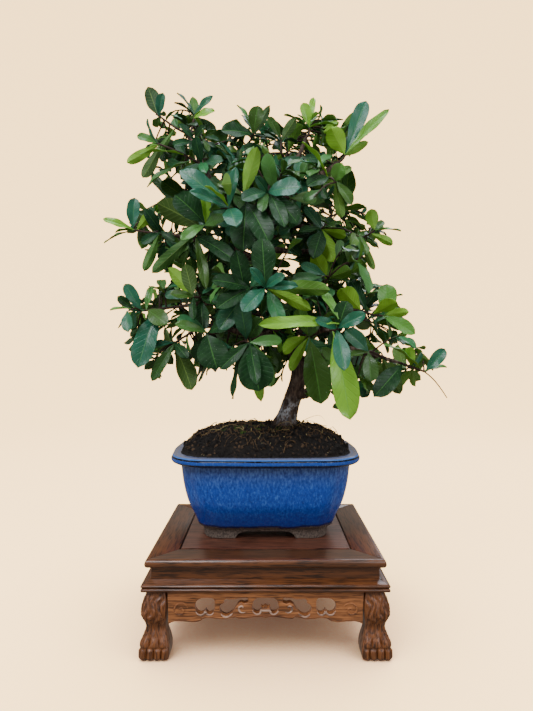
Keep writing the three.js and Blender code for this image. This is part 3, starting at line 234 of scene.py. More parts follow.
def tidy_mesh(target: Piece) -> None:
    """Merges an object's doubles and turns its faces outward.

    Args:
        target: The mesh object.
    """
    work = bmesh.new()
    work.from_mesh(target.data)
    bmesh.ops.remove_doubles(work, verts=work.verts, dist=0.001 * MM)
    bmesh.ops.recalc_face_normals(work, faces=work.faces)
    work.to_mesh(target.data)
    work.free()


def hand_over(piece: Piece, finishes: Sequence[Material] = (),
              nodes: Sequence[str] = (), sharp: float | None = None) -> None:
    """Finishes a piece, lets it ride on the object's one body and hides the solids that it stands for.

    Args:
        piece: The piece.
        finishes: Its materials.
        nodes: The solids that it replaces.
        sharp: The angle in degrees over which its edges stay sharp, if it is smooth.
    """
    for finish in finishes:
        piece.data.materials.append(finish)
    if sharp is not None:
        piece.data.shade_smooth()
        piece.data.set_sharp_from_angle(angle=radians(sharp))
    if nodes:
        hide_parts(*nodes)
    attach(piece, BODY)
    LOG.info("%s: %d faces", piece.name, len(piece.data.polygons))


def dress_solid(node: str, finish: Material) -> None:
    """Gives a solid of the frame that is shown as it is its finish."""
    target = frame["nodes"][node]
    target.data.materials.clear()
    target.data.materials.append(finish)
    LOG.info("%s: shown as it is", node)


def loft(rings: Sequence[Sequence[Vector]]) -> Skin:
    """Joins rings of equally many points into a skin, closed with a fan at both ends.

    Args:
        rings: The rings, in order.

    Returns:
        Points and faces.
    """
    count = len(rings[0])
    points = [p for ring in rings for p in ring]
    faces = []
    for r in range(len(rings) - 1):
        for i in range(count):
            a, b = r * count + i, r * count + (i + 1) % count
            faces.append((a, b, b + count, a + count))
    for first, flip in ((0, True), ((len(rings) - 1) * count, False)):
        points.append(sum(points[first:first + count], Vector()) / count)
        for i in range(count):
            a, b = first + i, first + (i + 1) % count
            faces.append((b, a, len(points) - 1) if flip else (a, b, len(points) - 1))
    return points, faces


def smooth_between(knots: Sequence[Sequence[float]], place: float) -> list[float]:
    """Smooth values between knots.

    Args:
        knots: Rows of a place followed by its values, in rising order of place.
        place: Where the values are wanted.

    Returns:
        The values there, on a curve through the knots without overshoot.
    """
    if place <= knots[0][0]:
        return list(knots[0][1:])
    if place >= knots[-1][0]:
        return list(knots[-1][1:])
    i = max(k for k in range(len(knots) - 1) if knots[k][0] <= place)
    a, b = knots[i], knots[i + 1]
    width = b[0] - a[0]
    t = (place - a[0]) / width
    result = []
    for c in range(1, len(a)):
        step = (b[c] - a[c]) / width
        slopes = []
        for k in (i, i + 1):
            if 0 < k < len(knots) - 1:
                before = (knots[k][c] - knots[k - 1][c]) / (knots[k][0] - knots[k - 1][0])
                after = (knots[k + 1][c] - knots[k][c]) / (knots[k + 1][0] - knots[k][0])
                slopes.append(0 if before * after <= 0 else 2 * before * after / (before + after))
            else:
                slopes.append(step)
        m0, m1 = slopes[0] * width, slopes[1] * width
        result.append((2 * t**3 - 3 * t**2 + 1) * a[c] + (t**3 - 2 * t**2 + t) * m0
                      + (3 * t**2 - 2 * t**3) * b[c] + (t**3 - t**2) * m1)
    return result


def ease(value: float, low: float, high: float) -> float:
    """The eased step from 0 to 1 of a value between two limits."""
    t = min(1.0, max(0.0, (value - low) / (high - low)))
    return t * t * (3 - 2 * t)


def between(around: Sequence[Vector], t: float) -> Vector:
    """The point at a share of the way from the second to the third of four points."""
    p0, p1, p2, p3 = around
    return 0.5 * (2 * p1 + (p2 - p0) * t + (2 * p0 - 5 * p1 + 4 * p2 - p3) * t**2
                  + (3 * p1 - p0 - 3 * p2 + p3) * t**3)


def curve_at(points: Sequence[Vector], share: float) -> Vector:
    """The point of a smooth curve.

    Args:
        points: The points that the curve passes.
        share: The share of the way along it.

    Returns:
        The point there.
    """
    place = share * (len(points) - 1)
    i = min(int(place), len(points) - 2)
    ends = [points[0] * 2 - points[1], *points, points[-1] * 2 - points[-2]]
    return between(ends[i:i + 4], place - i)


def curve_points(points: Sequence[Vector], steps: int) -> list[Vector]:
    """The ends of even steps along a smooth curve through points."""
    return [curve_at(points, k / steps) for k in range(steps + 1)]


def tube(path: Sequence[Vector], radius_at: Callable[[float, float], float], sides: int) -> Skin:
    """A round tube along a path.

    Args:
        path: The middle of each ring.
        radius_at: The radius for a share of the way and an angle.
        sides: Points in each ring.

    Returns:
        Points and faces, closed at both ends.
    """
    rings = []
    side = Vector((1, 0, 0))
    for i, middle in enumerate(path):
        way = (path[min(i + 1, len(path) - 1)] - path[max(i - 1, 0)]).normalized()
        side = (side - way * side.dot(way)).normalized()
        up = way.cross(side)
        turns = [k / sides * tau for k in range(sides)]
        share = i / (len(path) - 1)
        rings.append([middle + (side * cos(a) + up * sin(a)) * radius_at(share, a) for a in turns])
    return loft(rings)


def joined(parts: Iterable[Skin]) -> Skin:
    """Puts several skins together in one.

    Args:
        parts: Each part's points and faces.

    Returns:
        All points, and the faces by their new numbers.
    """
    points, faces = [], []
    for some_points, some_faces in parts:
        start = len(points)
        points.extend(some_points)
        faces.extend([start + c for c in face] for face in some_faces)
    return points, faces


# Finishes


@dataclass(frozen=True)
class Finish:
    """A finish: the name of its material, and the look that each kind gives it."""

    name: str

    def build(self) -> Material:
        """Makes the material."""
        made = bpy.data.materials.new(self.name)
        made.use_nodes = True
        net = Net(made.node_tree)
        net.place = net.add("ShaderNodeTexCoord").outputs["Object"]
        wire(net.tree.nodes["Principled BSDF"], self.look(net))
        return made

    def look(self, net: Net) -> dict:
        """Adds the nodes of the look.

        Args:
            net: The material's nodes.

        Returns:
            What goes into the Principled shader, as `wire` takes it.
        """
        raise NotImplementedError


class Grain(Enum):
    """The way a board's grain runs."""

    ACROSS = (1, 0, 0)
    BACK = (0, 1, 0)
    UP = (0, 0, 1)


@dataclass(frozen=True)
class Hardwood(Finish):
    """Dark stained hardwood under a satin lacquer: long soft grain and a warm reflection.

    The pores are 0.3 mm wide and many times as long. They are drawn 1.1 mm wide to show.
    """

    grain: Grain
    dark: str = "#2f180c"
    light: str = "#744422"
    carved: bool = False
    band_width: float = 6
    pore_width: float = 1.1

    def look(self, net: Net) -> dict:
        """Bands and pores along the grain, with paler worn places."""
        bands, pores = (
            net.pattern(width, tuple(1 + longer * axis for axis in self.grain.value),
                        detail, rough)
            for width, longer, detail, rough in ((self.band_width, 17, 4, 0.65),
                                                 (self.pore_width, 13, 2, 0.6)))
        base = net.add(RAMP, {0: bands}, [(0.25, self.dark), (0.52, self.light), (0.8, self.dark)])
        fine = net.add(RAMP, {0: pores}, [(0.38, "#4a4a4a"), (0.52, "#ffffff")])
        stained = net.add(MIX, {0: 0.8, 6: base, 7: fine}, data_type="RGBA", blend_type="MULTIPLY")
        wear = net.pattern(22, detail=2)
        return {
            "Base Color": net.overlay(stained, self.light, wear, 0.45, 0.75, 0.3),
            "Roughness": net.add(RANGE, {
                0: pores, 1: 0.3, 2: 0.6, 3: 0.6 if self.carved else 0.42, 4: 0.34}),
            "Normal": net.add(BUMP, {"Height": pores, "Distance": 0.12 * MM}),
            "Coat Weight": 0.15 if self.carved else 0.6,
            "Coat Roughness": 0.28,
        }


@dataclass(frozen=True)
class Stoneware(Finish):
    """Glazed stoneware: a glossy streaked blue, darker low down, over bare clay at the feet.

    The glaze ran down in streaks a few millimetres wide and ends in an uneven line.
    """

    glaze_end: float = 84.6
    darkening_heights: tuple[float, float] = (88, 108)
    dusk: tuple[float, float] = (119, 136)
    lip_low: float = 136.0
    rim: float = 145.2

    def look(self, net: Net) -> dict:
        """Streaked glaze, darker low down, with painted shade under the rim, a dark line in its groove,
        painted highlights along its top, and clay.
        """
        height = net.add(SPLIT, {0: net.place}).outputs["Z"]
        streaks = net.pattern(1.6, (1, 1, 2.4), 4, 0.65)
        runs = net.pattern(5, (1, 1, 7), 3)
        clouds = net.pattern(16, (1, 1, 1.6), 3)
        specks = net.pattern(1.0, (1, 1, 1.6), 2, 0.7)
        body = net.add(RAMP, {0: streaks}, [(0.34, "#113894"), (0.5, "#1e52ba"), (0.68, "#427cda")])
        soft = net.overlay(body, "#0d47b4", runs, 0.4, 0.66, 0.55)
        speckled = net.overlay(soft, "#7fb0f5", specks, 0.6, 0.7, 0.22)
        # The glaze is darker towards the bottom of the wall.
        darkened_low = net.overlay(speckled, "#102b88", height, self.darkening_heights[1] * MM, self.darkening_heights[0] * MM,
                         0.72)
        dusky = net.add(RAMP, {0: streaks}, [(0.35, "#2b3f66"), (0.65, "#6f86b4")])
        paled = net.overlay(darkened_low, dusky, height, self.dusk[0] * MM, self.dusk[1] * MM, 0.6)
        up_the_lip = net.add(RANGE, {0: height, 1: self.lip_low * MM, 2: self.rim * MM})
        # Up the lip: painted shade under the rim's roll up to about 139.7 mm, the blue roll, a dark
        # line in the groove, then pale blue and grey painted highlights along the roll's top.
        lines = net.add(RAMP, {0: up_the_lip}, [
            (0.0, "#101c38"), (0.12, "#06080d"), (0.4, "#06080d"), (0.45, "#1f56bc"),
            (0.66, "#1b4fb4"), (0.69, "#0d0a08"), (0.82, "#120e0b"), (0.85, "#4c8cea"),
            (0.92, "#3f6fc0"), (0.96, "#7d7f92")])
        lip = net.overlay(lines, "#7fa6e4", specks, 0.5, 0.72, 0.3)
        glaze = net.overlay(paled, lip, height, self.lip_low * MM, (self.lip_low + 1) * MM)
        uneven = net.add(RANGE, {0: clouds, 1: 0.3, 2: 0.7, 3: -1.4 * MM, 4: 1.4 * MM})
        end = net.add(MATH, {0: height, 1: uneven}, operation="ADD")
        ended = net.overlay(glaze, "#0a1026", end, (self.glaze_end + 2.4) * MM,
                        (self.glaze_end + 1.2) * MM, 0.75)
        bare = net.add(RANGE, {
            0: end, 1: (self.glaze_end + 0.5) * MM, 2: (self.glaze_end - 0.3) * MM})
        clay = net.add(RAMP, {0: specks}, [(0.35, "#3b322d"), (0.6, "#74675c")])
        ripple = net.pattern(7, (1, 1, 2.5), 2)
        return {
            "Base Color": net.add(MIX, {0: bare, 6: ended, 7: clay}, data_type="RGBA"),
            "Roughness": net.add(RANGE, {0: bare, 3: 0.14, 4: 0.85}),
            "Normal": net.add(BUMP, {"Height": ripple, "Distance": 0.35 * MM}),
            "IOR": 1.52,
        }


@dataclass(frozen=True)
class Peat(Finish):
    """Moist peaty soil: nearly black, dull, with browner dry crumbs."""

    dark: str = "#0d0a07"
    dry: str = "#3a2b1a"

    def look(self, net: Net) -> dict:
        """Crumbs from dark to dry, with moister patches."""
        crumbs = net.pattern(1.6, detail=5, rough=0.7)
        patches = net.pattern(14)
        base = net.add(RAMP, {0: crumbs}, [(0.35, self.dark), (0.58, "#1c150e"), (0.72, self.dry)])
        return {
            "Base Color": net.overlay(base, self.dark, patches, 0.4, 0.6, 0.6),
            "Normal": net.add(BUMP, {"Height": crumbs, "Distance": 1.2 * MM}),
            "Roughness": 0.95,
        }


@dataclass(frozen=True)
class Bark(Finish):
    """Firethorn bark: dark grey-brown, fissured lengthwise, with a pale dry patch low down."""

    patch: tuple[float, float] = (163, 190)
    patch_edge: float = 12

    def look(self, net: Net) -> dict:
        """Plates with grey lichen, and pale flakes between two heights."""
        height = net.add(SPLIT, {0: net.place}).outputs["Z"]
        plates = net.pattern(2.4, (1, 1, 3.2), 5, 0.65)
        flakes = net.pattern(1.3, (1, 1, 1.4), 3, 0.7)
        lichen = net.pattern(6, (1, 1, 1.5), 4, 0.6)
        base = net.add(RAMP, {0: plates}, [(0.34, "#241a14"), (0.5, "#4c3a2f"), (0.7, "#7a6454")])
        pale = net.overlay(base, "#8a7c6d", lichen, 0.52, 0.68, 0.7)
        low, high = self.patch
        share = net.add(RANGE, {
            0: height, 1: (low + self.patch_edge) * MM, 2: low * MM, 3: 1, 4: 0})
        for value, start, end, least, most in (
            (height, high * MM, (high - self.patch_edge) * MM, 0, 1),
            (lichen, 0.44, 0.58, 0, 1), (flakes, 0.42, 0.56, 0.05, 0.85),
        ):
            limit = net.add(RANGE, {0: value, 1: start, 2: end, 3: least, 4: most})
            share = net.add(MATH, {0: share, 1: limit}, operation="MULTIPLY")
        return {
            "Base Color": net.add(MIX, {0: share, 6: pale, 7: "#cdd0d8"},
                                  data_type="RGBA"),
            "Normal": net.add(BUMP, {"Height": plates, "Distance": 0.9 * MM}),
            "Roughness": 0.82,
        }


class LeafSide(Enum):
    """The faces of a leaf: an upper, an under, and a less glossy upper copy for dark leaves, both matt
    ones and those in painted shade.
    """

    UPPER = "upper"
    UNDER = "under"
    OLD = "old"


@dataclass(frozen=True)
class LeafSkin(Finish):
    """The skin of a leathery leaf: dark, glossy and blue-green above, dull olive below.

    The blade's own map runs across in U and from root to tip in V. Its tone attribute holds
    how light it is, which for leaves inside the crown includes painted shade, how yellow it is and a
    random value.
    """

    side: LeafSide

    def look(self, net: Net) -> dict:
        """Blade, midrib, slanting veins and dust, as light and as yellow as the leaf is."""
        upper, dull = self.side is not LeafSide.UNDER, self.side is LeafSide.OLD
        tone = net.add("ShaderNodeAttribute", attribute_name=TONE)
        light, yellow, luck = net.add("ShaderNodeSeparateColor", {0: tone}).outputs
        across, up, _ = net.add(SPLIT, {0: net.place.node.outputs["UV"]}).outputs
        centred = net.add(MATH, {0: across, 1: 0.5}, operation="SUBTRACT")
        off_rib = net.add(MATH, {0: centred}, operation="ABSOLUTE")
        dark, mid, pale = (("#18361a", "#206a50", "#3a983c") if upper
                           else ("#1f3d1c", "#4f8430", "#86b83a"))
        base = net.add(RAMP, {0: light}, [(0.0, dark), (0.5, mid), (1.0, pale)])
        blotch = net.pattern(5, detail=3)
        mottled = net.overlay(base, "#386a35", blotch, 0.35, 0.7, 0.32)
        sunny = net.add(RAMP, {0: light}, [(0.0, "#263c14"), (0.5, "#6a962a"), (1.0, "#9ad638")])
        lime = net.add(MIX, {0: yellow, 6: mottled, 7: sunny}, data_type="RGBA")
        rib = net.add(RANGE, {0: off_rib, 1: 0.028, 2: 0.008})
        ribbed = net.overlay(lime, "#6db552" if upper else "#a6cc5c", rib, 0, 1, 0.34)
        along = net.add(MATH, {0: up, 1: 62.0}, operation="MULTIPLY")
        slant = net.add(MATH, {0: off_rib, 1: 22.0}, operation="MULTIPLY")
        phase = net.add(MATH, {0: along, 1: slant}, operation="SUBTRACT")
        wave = net.add(MATH, {0: phase}, operation="SINE")
        veins = net.add(RANGE, {0: wave, 1: 0.72, 2: 1.0})
        veined = net.overlay(ribbed, "#5fae6a" if upper else "#a2c462", veins, 0, 1,
                         0.035 if upper else 0.11)
        specks = net.pattern(1.1, detail=2)
        sunk = net.add(MATH, {0: rib, 1: veins}, operation="MAXIMUM")
        surface = net.add(BUMP, {"Height": blotch, "Distance": 0.25 * MM})
        return {
            "Base Color": net.overlay(veined, "#b4c0ae", specks, 0.7, 0.76, 0.5),
            "Roughness": net.add(RANGE, {0: luck, 3: 0.28, 4: 0.42}) if upper else 0.55,
            # The duller copy's lower sheen is partly a matt leaf's own and partly painted shade.
            "Specular IOR Level": 0.16 if dull else 0.34,
            "Coat Weight": (0.06 if dull else 0.26) if upper else 0.0,
            "Coat Roughness": 0.22,
            "Normal": net.add(BUMP, {
                "Height": sunk, "Distance": (-0.14 if upper else 0.16) * MM, "Normal": surface}),
        }


@dataclass(frozen=True)
class Plain(Finish):
    """A finish of one tone with a soft mottle, for small things that need little more."""

    dark: str
    light: str
    roughness: float = 0.8
    size: float = 3.0
    bump: float = 0.2

    def look(self, net: Net) -> dict:
        """The mottle."""
        cloud = net.pattern(self.size)
        return {
            "Base Color": net.add(RAMP, {0: cloud}, [(0.3, self.dark), (0.7, self.light)]),
            "Normal": net.add(BUMP, {"Height": cloud, "Distance": self.bump * MM}),
            "Roughness": self.roughness,
        }


@dataclass(frozen=True)
class LitPaper(Finish):
    """Matt cream paper that glows with painted light, so that shadows on it stay light; its glow dims
    into a painted shadow where the open air is hidden.
    """

    colour: str = "#f3c887"
    shade: str = "#dfae98"
    glow: float = 4.0
    least_glow: float = 0.04
    shade_reach: float = 220.0

    def look(self, net: Net) -> dict:
        """Faint fibres, and a glow of painted light that dims, with a rosier colour, into painted
        shadow where the paper sees less of the open air.
        """
        fibre = net.pattern(2.5, detail=3)
        open_air = net.add("ShaderNodeAmbientOcclusion",
                           {"Distance": self.shade_reach * MM}, samples=12).outputs["AO"]
        return {
            "Base Color": net.add(RAMP, {0: fibre}, [(0.3, self.colour), (0.7, "#f5d19c")]),
            # The emission is painted light; its dimming and its shade colour under and round the object
            # are a painted shadow.
            "Emission Color": net.add(RAMP, {0: open_air},
                                      [(0.3, self.shade), (0.85, self.colour)]),
            "Emission Strength": net.add(RANGE, {
                0: open_air, 1: 0.25, 2: 0.94, 3: self.glow * self.least_glow, 4: self.glow}),
            "Roughness": 0.95,
        }


# Studio


@dataclass
class Studio:
    """Camera, lights and the pale sweep that the object stands on."""

    centre: Vector
    focal_pixels: float = 540.0
    frame: tuple[int, int] = (533, 711)
    horizon: float = 351.0
    sensor: float = 36.0
    flat: float = 1300.0
    sweep: float = 1100.0
    wall: float = 3200.0
    key: float = 24.0
    fill: float = 5.5
    top: float = 15.0
    rim: float = 6.0
    strip: float = 2.2
    surround: float = 0.29
    aim_height: float = 260.0

    def build(self) -> None:
        """Sets up the camera, the floor, the lights and the world."""
        self._camera()
        self._floor()
        self._lights()

    def _camera(self) -> None:
        """Places a level camera straight in front."""
        data = bpy.data.cameras.new("camera")
        camera = new_object("camera", data)
        wide, high = self.frame
        data.sensor_width = self.sensor
        data.lens = self.focal_pixels / high * self.sensor
        data.shift_x = (wide / 2 - VIEW.middle) / high
        data.shift_y = (self.horizon - high / 2) / high
        data.clip_start, data.clip_end = 0.01, 20
        camera.location = (self.centre + Vector((0, -VIEW.eye_distance, VIEW.eye_height))) * MM
        camera.rotation_euler = (pi / 2, 0, 0)
        bpy.context.scene.camera = camera

    def _floor(self) -> None:
        """Makes the pale floor, swept up all round into a wall far from the object."""
        profile = [(0, 0), (400, 0), (1000, 0), (self.flat, 0)]
        profile += [(self.flat + self.sweep * sin(a), self.sweep * (1 - cos(a)))
                    for a in (k / 16 * pi / 2 for k in range(1, 17))]
        profile.append((self.flat + self.sweep, self.wall))
        count = 96
        points = [(r * cos(a), r * sin(a), z) for r, z in profile[1:]
                  for a in (k / count * tau for k in range(count))]
        faces = [(r * count + i, r * count + (i + 1) % count, (r + 1) * count + (i + 1) % count,
                  (r + 1) * count + i)
                 for r in range(len(profile) - 2) for i in range(count)]
        points.append((0, 0, 0))
        faces += [(i, len(points) - 1, (i + 1) % count) for i in range(count)]
        paper = mesh_object("paper_sweep", points, [face[::-1] for face in faces])
        paper.data.shade_smooth()
        # The paper glows with painted light and carries painted shadows.
        paper.data.materials.append(LitPaper("cream_paper_painted_glow").build())
        paper.visible_diffuse = paper.visible_glossy = False
        paper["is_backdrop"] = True

    def _lights(self) -> None:
        """Adds large soft lights and an even surround above the sweep."""
        for name, place, size, power, colour in (
            ("key", (-700, -1000, 1500), (900, 900), self.key, "#f8f9ff"),
            ("fill", (1000, -900, 900), (800, 800), self.fill, "#f6f8ff"),
            ("top", (0, 100, 1700), (1000, 1000), self.top, "#edf2ff"),
            ("rim", (500, 900, 1100), (600, 600), self.rim, "#edf2ff"),
            ("strip_left", (-950, -600, 420), (160, 1100), self.strip, "#e8efff"),
            ("strip_right", (950, -600, 420), (160, 1100), self.strip, "#e8efff"),
        ):
            data = bpy.data.lights.new(name, "AREA")
            data.shape, data.energy = "RECTANGLE", power
            data.size, data.size_y = (side * MM for side in size)
            data.color = linear(colour)[:3]
            light = new_object(name, data)
            light.location = Vector(place) * MM
            aim = Vector((0, 0, self.aim_height)) * MM - light.location
            light.rotation_euler = aim.to_track_quat("-Z", "Y").to_euler()
        world = bpy.data.worlds.new("surround")
        world.use_nodes = True
        background = world.node_tree.nodes["Background"]
        background.inputs[0].default_value = linear("#fdf1e0")
        background.inputs[1].default_value = self.surround
        bpy.context.scene.world = world


# Stand


@dataclass(frozen=True)
class Side:
    """One side of the stand: its name, its quarter turn and whether it is a long side."""

    name: str
    turn: float
    long: bool

    @property
    def grain(self) -> Grain:
        """The way the boards of this side run."""
        return Grain.ACROSS if self.long else Grain.BACK


SIDES = (Side("front", 0, True), Side("right", pi / 2, False),
         Side("back", pi, True), Side("left", -pi / 2, False))


@dataclass
class Stand:
    """The carved hardwood stand."""

    centre: Vector
    top_size: tuple[float, float] = (180, 150)
    moulding_size: tuple[float, float] = (185, 153.5)
    rail_width: float = 23
    top: float = 74
    leg_height: float = 50.5
    leg_inner: float = 73.2
    mitre_gap: float = 0.15
    panel_gap: float = 0.8
    apron_thickness: float = 6
    apron_recess: float = 2.6
    tenon_gap: float = 0.25
    lip_highlight: Material | None = None
    finishes: dict[Grain, Material] = field(default_factory=dict)
    carved: dict[Grain, Material] = field(default_factory=dict)

    def build(self) -> None:
        """Makes and dresses every piece of the stand."""
        for grain in Grain:
            key = grain.name.lower()
            self.finishes[grain] = Hardwood(f"stained_hardwood_{key}", grain).build()
            self.carved[grain] = Hardwood(
                f"carved_hardwood_{key}", grain, *(("#38190c", "#8e5730") if grain is Grain.UP
                                                   else ("#522b16", "#b87748")), True).build()
        # The lips' pale rosy colour is a painted highlight, standing for the gloss where light catches
        # the beads under the openings; their glossy coat is real.
        self.lip_highlight = Hardwood("lip_highlight_hardwood", Grain.ACROSS, "#8d5f48", "#d9b49c").build()
        for side in SIDES:
            self._frame_side("stand_top_rail", self._rail_section(), self.top_size, side)
            self._frame_side("stand_moulding", self._moulding_section(), self.moulding_size, side)
            dress_solid(f"stand_waist_board_{side.name}", self.finishes[side.grain])
            self._apron(side)
        dress_solid("stand_panel", Hardwood("panel_hardwood", Grain.ACROSS, "#3b1f17",
                                            "#7a4a38").build())
        for left_right in (-1, 1):
            for front_back in (-1, 1):
                self._leg(left_right, front_back)

    def _rail_section(self) -> Outline:
        """The top rail's section: a bullnose edge, flat faces and the panel's groove."""
        width = self.rail_width
        nose = [(2.9 - 2.9 * sin(a) ** 0.8, 70.5 + 3.5 * cos(a) * (1 if a < 1.57 else 0.86))
                for a in (k / 14 * pi for k in range(15))]
        nose = [(max(0.0, inset), z) for inset, z in nose]
        shy = width - self.panel_gap
        return [(width, 67.2), (width, 69), (width - 4, 69), (width - 4, 72), (shy, 72),
                (shy, self.top - 0.3), (shy - 0.3, self.top), *nose, (3.2, 67)]

    def _moulding_section(self) -> Outline:
        """The lower moulding's section: a slope, an arris, a groove and a bead."""
        bead = [(1.0 - 0.95 * sin(a), 51.8 + 1.25 * cos(a)) for a in (k / 8 * pi for k in range(9))]
        return [(20, self.leg_height), (20, 58.5), (6.2, 58.5), (5.6, 58.2), (4.6, 57.5),
                (2.8, 56.8), (1.4, 56.2), (0.4, 55.6), (0.0, 55.0), (0.1, 54.4), (0.6, 53.8),
                (1.5, 53.4), *bead, (1.2, self.leg_height)]

    def _frame_side(self, name: str, section: Outline,
                    size: tuple[float, float], side: Side) -> None:
        """Makes one mitred side of a frame.

        Args:
            name: The frame's name.
            section: Its section as (inset, z), from under the inner edge round the outside.
            size: The frame's length and depth.
            side: The side of the stand.
        """
        length, across = size if side.long else size[::-1]
        turn = Matrix.Rotation(side.turn, 3, "Z")
        points = []
        for end in (-1, 1):
            for inset, z in section:
                half = length / 2 - inset - self.mitre_gap
                points.append(turn @ Vector((end * half, -across / 2 + inset, z)))
        count = len(section)
        faces = [(i, (i + 1) % count, (i + 1) % count + count, i + count) for i in range(count)]
        faces += [list(range(count))[::-1], list(range(count, 2 * count))]
        piece = mesh_object(f"{name}_{side.name}_fine", points, faces, self.centre)
        tidy_mesh(piece)
        edges = piece.modifiers.new("eased_edges", "BEVEL")
        edges.width, edges.segments, edges.limit_method = 0.25 * MM, 2, "ANGLE"
        edges.angle_limit = radians(50)
        edges.use_clamp_overlap = True
        apply_modifiers(piece)
        hand_over(piece, [self.finishes[side.grain]], [f"{name}_{side.name}"], 35)

    def _scalloped_edge(self) -> Outline:
        """The apron's lower edge from its middle to its right end."""
        knots = [(0, 30.6), (5, 31.4), (11, 30.8), (16, 30.2), (20, 30), (22, 31), (26, 30.6),
                 (30, 29.7), (36, 29.9), (42, 30.7), (46, 30), (49, 28.2), (54, 27.5), (60, 28),
                 (66, 28.2), (69, 27.6), (73, 25.8)]
        places = [k * 0.73 for k in range(101)]
        return [(x, smooth_between(knots, x)[0]) for x in places if x <= 72.95]

    def _clouds(self) -> list[Outline]:
        """The pierced cloud openings of a long apron."""
        middle = [(-9.6, 37.2), (-8.4, 35.2), (-6.4, 34.2), (-4.6, 34.6), (-3.6, 36.2),
                  (-3.3, 38.6), (-1.7, 38), (0, 39.2), (1.7, 38), (3.3, 38.6), (3.6, 36.2),
                  (4.6, 34.6), (6.4, 34.2), (8.4, 35.2), (9.6, 37.2), (9.7, 40.4), (8.4, 43.8),
                  (5.8, 45.4), (0, 45.6), (-5.8, 45.4), (-8.4, 43.8), (-9.7, 40.4)]
        comma = [(12.4, 43.2), (13.6, 41.8), (16, 41.2), (18, 41.8), (20.4, 40.6), (22.4, 37.8),
                 (24.4, 35), (27, 33), (29.6, 32.2), (32.4, 33.6), (34.2, 37.2), (33.4, 40.2),
                 (31, 41.8), (30.8, 43.6), (29, 44.9), (24, 44.6), (18, 45.4), (13.8, 45.5)]
        blob = [(37.8, 41.4), (38, 37), (39.8, 34.2), (42.4, 33.7), (44.2, 35.4), (44.6, 36.4),
                (45.2, 35.2), (47.8, 33.6), (50.6, 34.6), (52.4, 38), (51.8, 42), (49.6, 44.4),
                (46, 45.4), (40, 45.3), (38.2, 44.2)]
        both = [comma, blob, *([(-x, z) for x, z in c][::-1] for c in (comma, blob))]
        return [middle, *both]

    def _apron(self, side: Side) -> None:
        """Makes one pierced, scalloped apron with its carved lips.

        Args:
            side: The side of the stand.
        """
        inner = self.leg_inner - (0 if side.long else self._inset())
        half = inner - self.tenon_gap
        stretch = half / (self.leg_inner - self.tenon_gap)
        edge = [(x * stretch, z) for x, z in self._scalloped_edge()]
        top = self.leg_height - 0.1
        outer = [(-x, z) for x, z in edge[:0:-1]] + edge + [(half, top), (-half, top)]
        clouds = [self._rounded([(x * stretch, z) for x, z in c]) for c in self._clouds()]
        board = self._cut_board([outer, *clouds])
        parts, lips = [board], []
        for cloud in clouds:
            low = min(z for _, z in cloud) + 3.4
            lip = [p for p in cloud[self._first_low(cloud, low):]
                   + cloud[:self._first_low(cloud, low)] if p[1] < low]
            lips.append(self._bead([(x, z - 0.8) for x, z in lip], 0.8))
        parts.append(self._bead([(x, z + 1.3) for x, z in outer[:-2]], 0.6))
        for sign in (-1, 1):
            parts.append(self._curl(sign * (half - 9.5), 36.5, sign))
            lips.append(self._curl(sign * 17.4 * stretch, 38, -sign, 11))
        self._place_carving(f"stand_apron_{side.name}_fine", parts, side, self.carved[side.grain],
                            [f"stand_apron_{side.name}"])
        # The lips take the pale finish that paints their highlight.
        self._place_carving(f"stand_apron_lips_{side.name}", lips, side, self.lip_highlight)

    def _place_carving(self, name: str, parts: list[Skin], side: Side,
                       finish: Material, nodes: Sequence[str] = ()) -> None:
        """Makes one piece of an apron's parts and sets it in its side of the stand.

        Args:
            name: The piece's name.
            parts: The parts' points and faces, with the apron's face at y = 0.
            side: The side of the stand.
            finish: The piece's material.
            nodes: The solids that it replaces.
        """
        points, faces = joined(parts)
        turn = Matrix.Rotation(side.turn, 4, "Z")
        across = (self.moulding_size[1] if side.long else self.moulding_size[0])
        face_y = -across / 2 + self.apron_recess
        placed = [turn @ Vector((p[0], face_y + p[1], p[2])) for p in points]
        piece = mesh_object(name, placed, faces, self.centre)
        tidy_mesh(piece)
        hand_over(piece, [finish], nodes, 35)

    def _inset(self) -> float:
        """How much nearer the middle the legs stand across the depth than along the length."""
        return (self.moulding_size[0] - self.moulding_size[1]) / 2

    @staticmethod
    def _first_low(ring: Outline, level: float) -> int:
        """The number of a point of a ring where it dips under a level."""
        return next(i for i in range(len(ring)) if ring[i][1] < level <= ring[i - 1][1])

    @staticmethod
    def _rounded(ring: Outline) -> Outline:
        """A closed smooth ring through points."""
        points = [Vector((x, z, 0)) for x, z in ring]
        count = len(points)
        return [tuple(between([points[(i + k) % count] for k in (-1, 0, 1, 2)], t)[:2])
                for i in range(count) for t in (0, 0.34, 0.67)]

    def _cut_board(self, rings: list[Outline]) -> Skin:
        """A board cut to an outline with openings, its edges eased.

        Args:
            rings: The outline, then the openings, as (across, height).

        Returns:
            Points and faces, with the board's face at y = 0.
        """
        ease_radius = 0.45
        data = bpy.data.curves.new("cut_board", "CURVE")
        data.dimensions, data.fill_mode = "2D", "BOTH"
        data.bevel_depth, data.offset = ease_radius * MM, -ease_radius * MM
        data.bevel_resolution = 2
        data.extrude = (self.apron_thickness / 2 - ease_radius) * MM
        for ring in rings:
            spline = data.splines.new("POLY")
            spline.points.add(len(ring) - 1)
            for point, (x, z) in zip(spline.points, ring):
                point.co = (x * MM, z * MM, 0, 1)
            spline.use_cyclic_u = True
        drawn = new_object("cut_board", data)
        mesh = evaluated(drawn)
        points = [Vector((v.co.x, self.apron_thickness / 2 * MM - v.co.z, v.co.y)) / MM
                  for v in mesh.vertices]
        faces = [list(face.vertices) for face in mesh.polygons]
        bpy.data.objects.remove(drawn)
        return points, faces

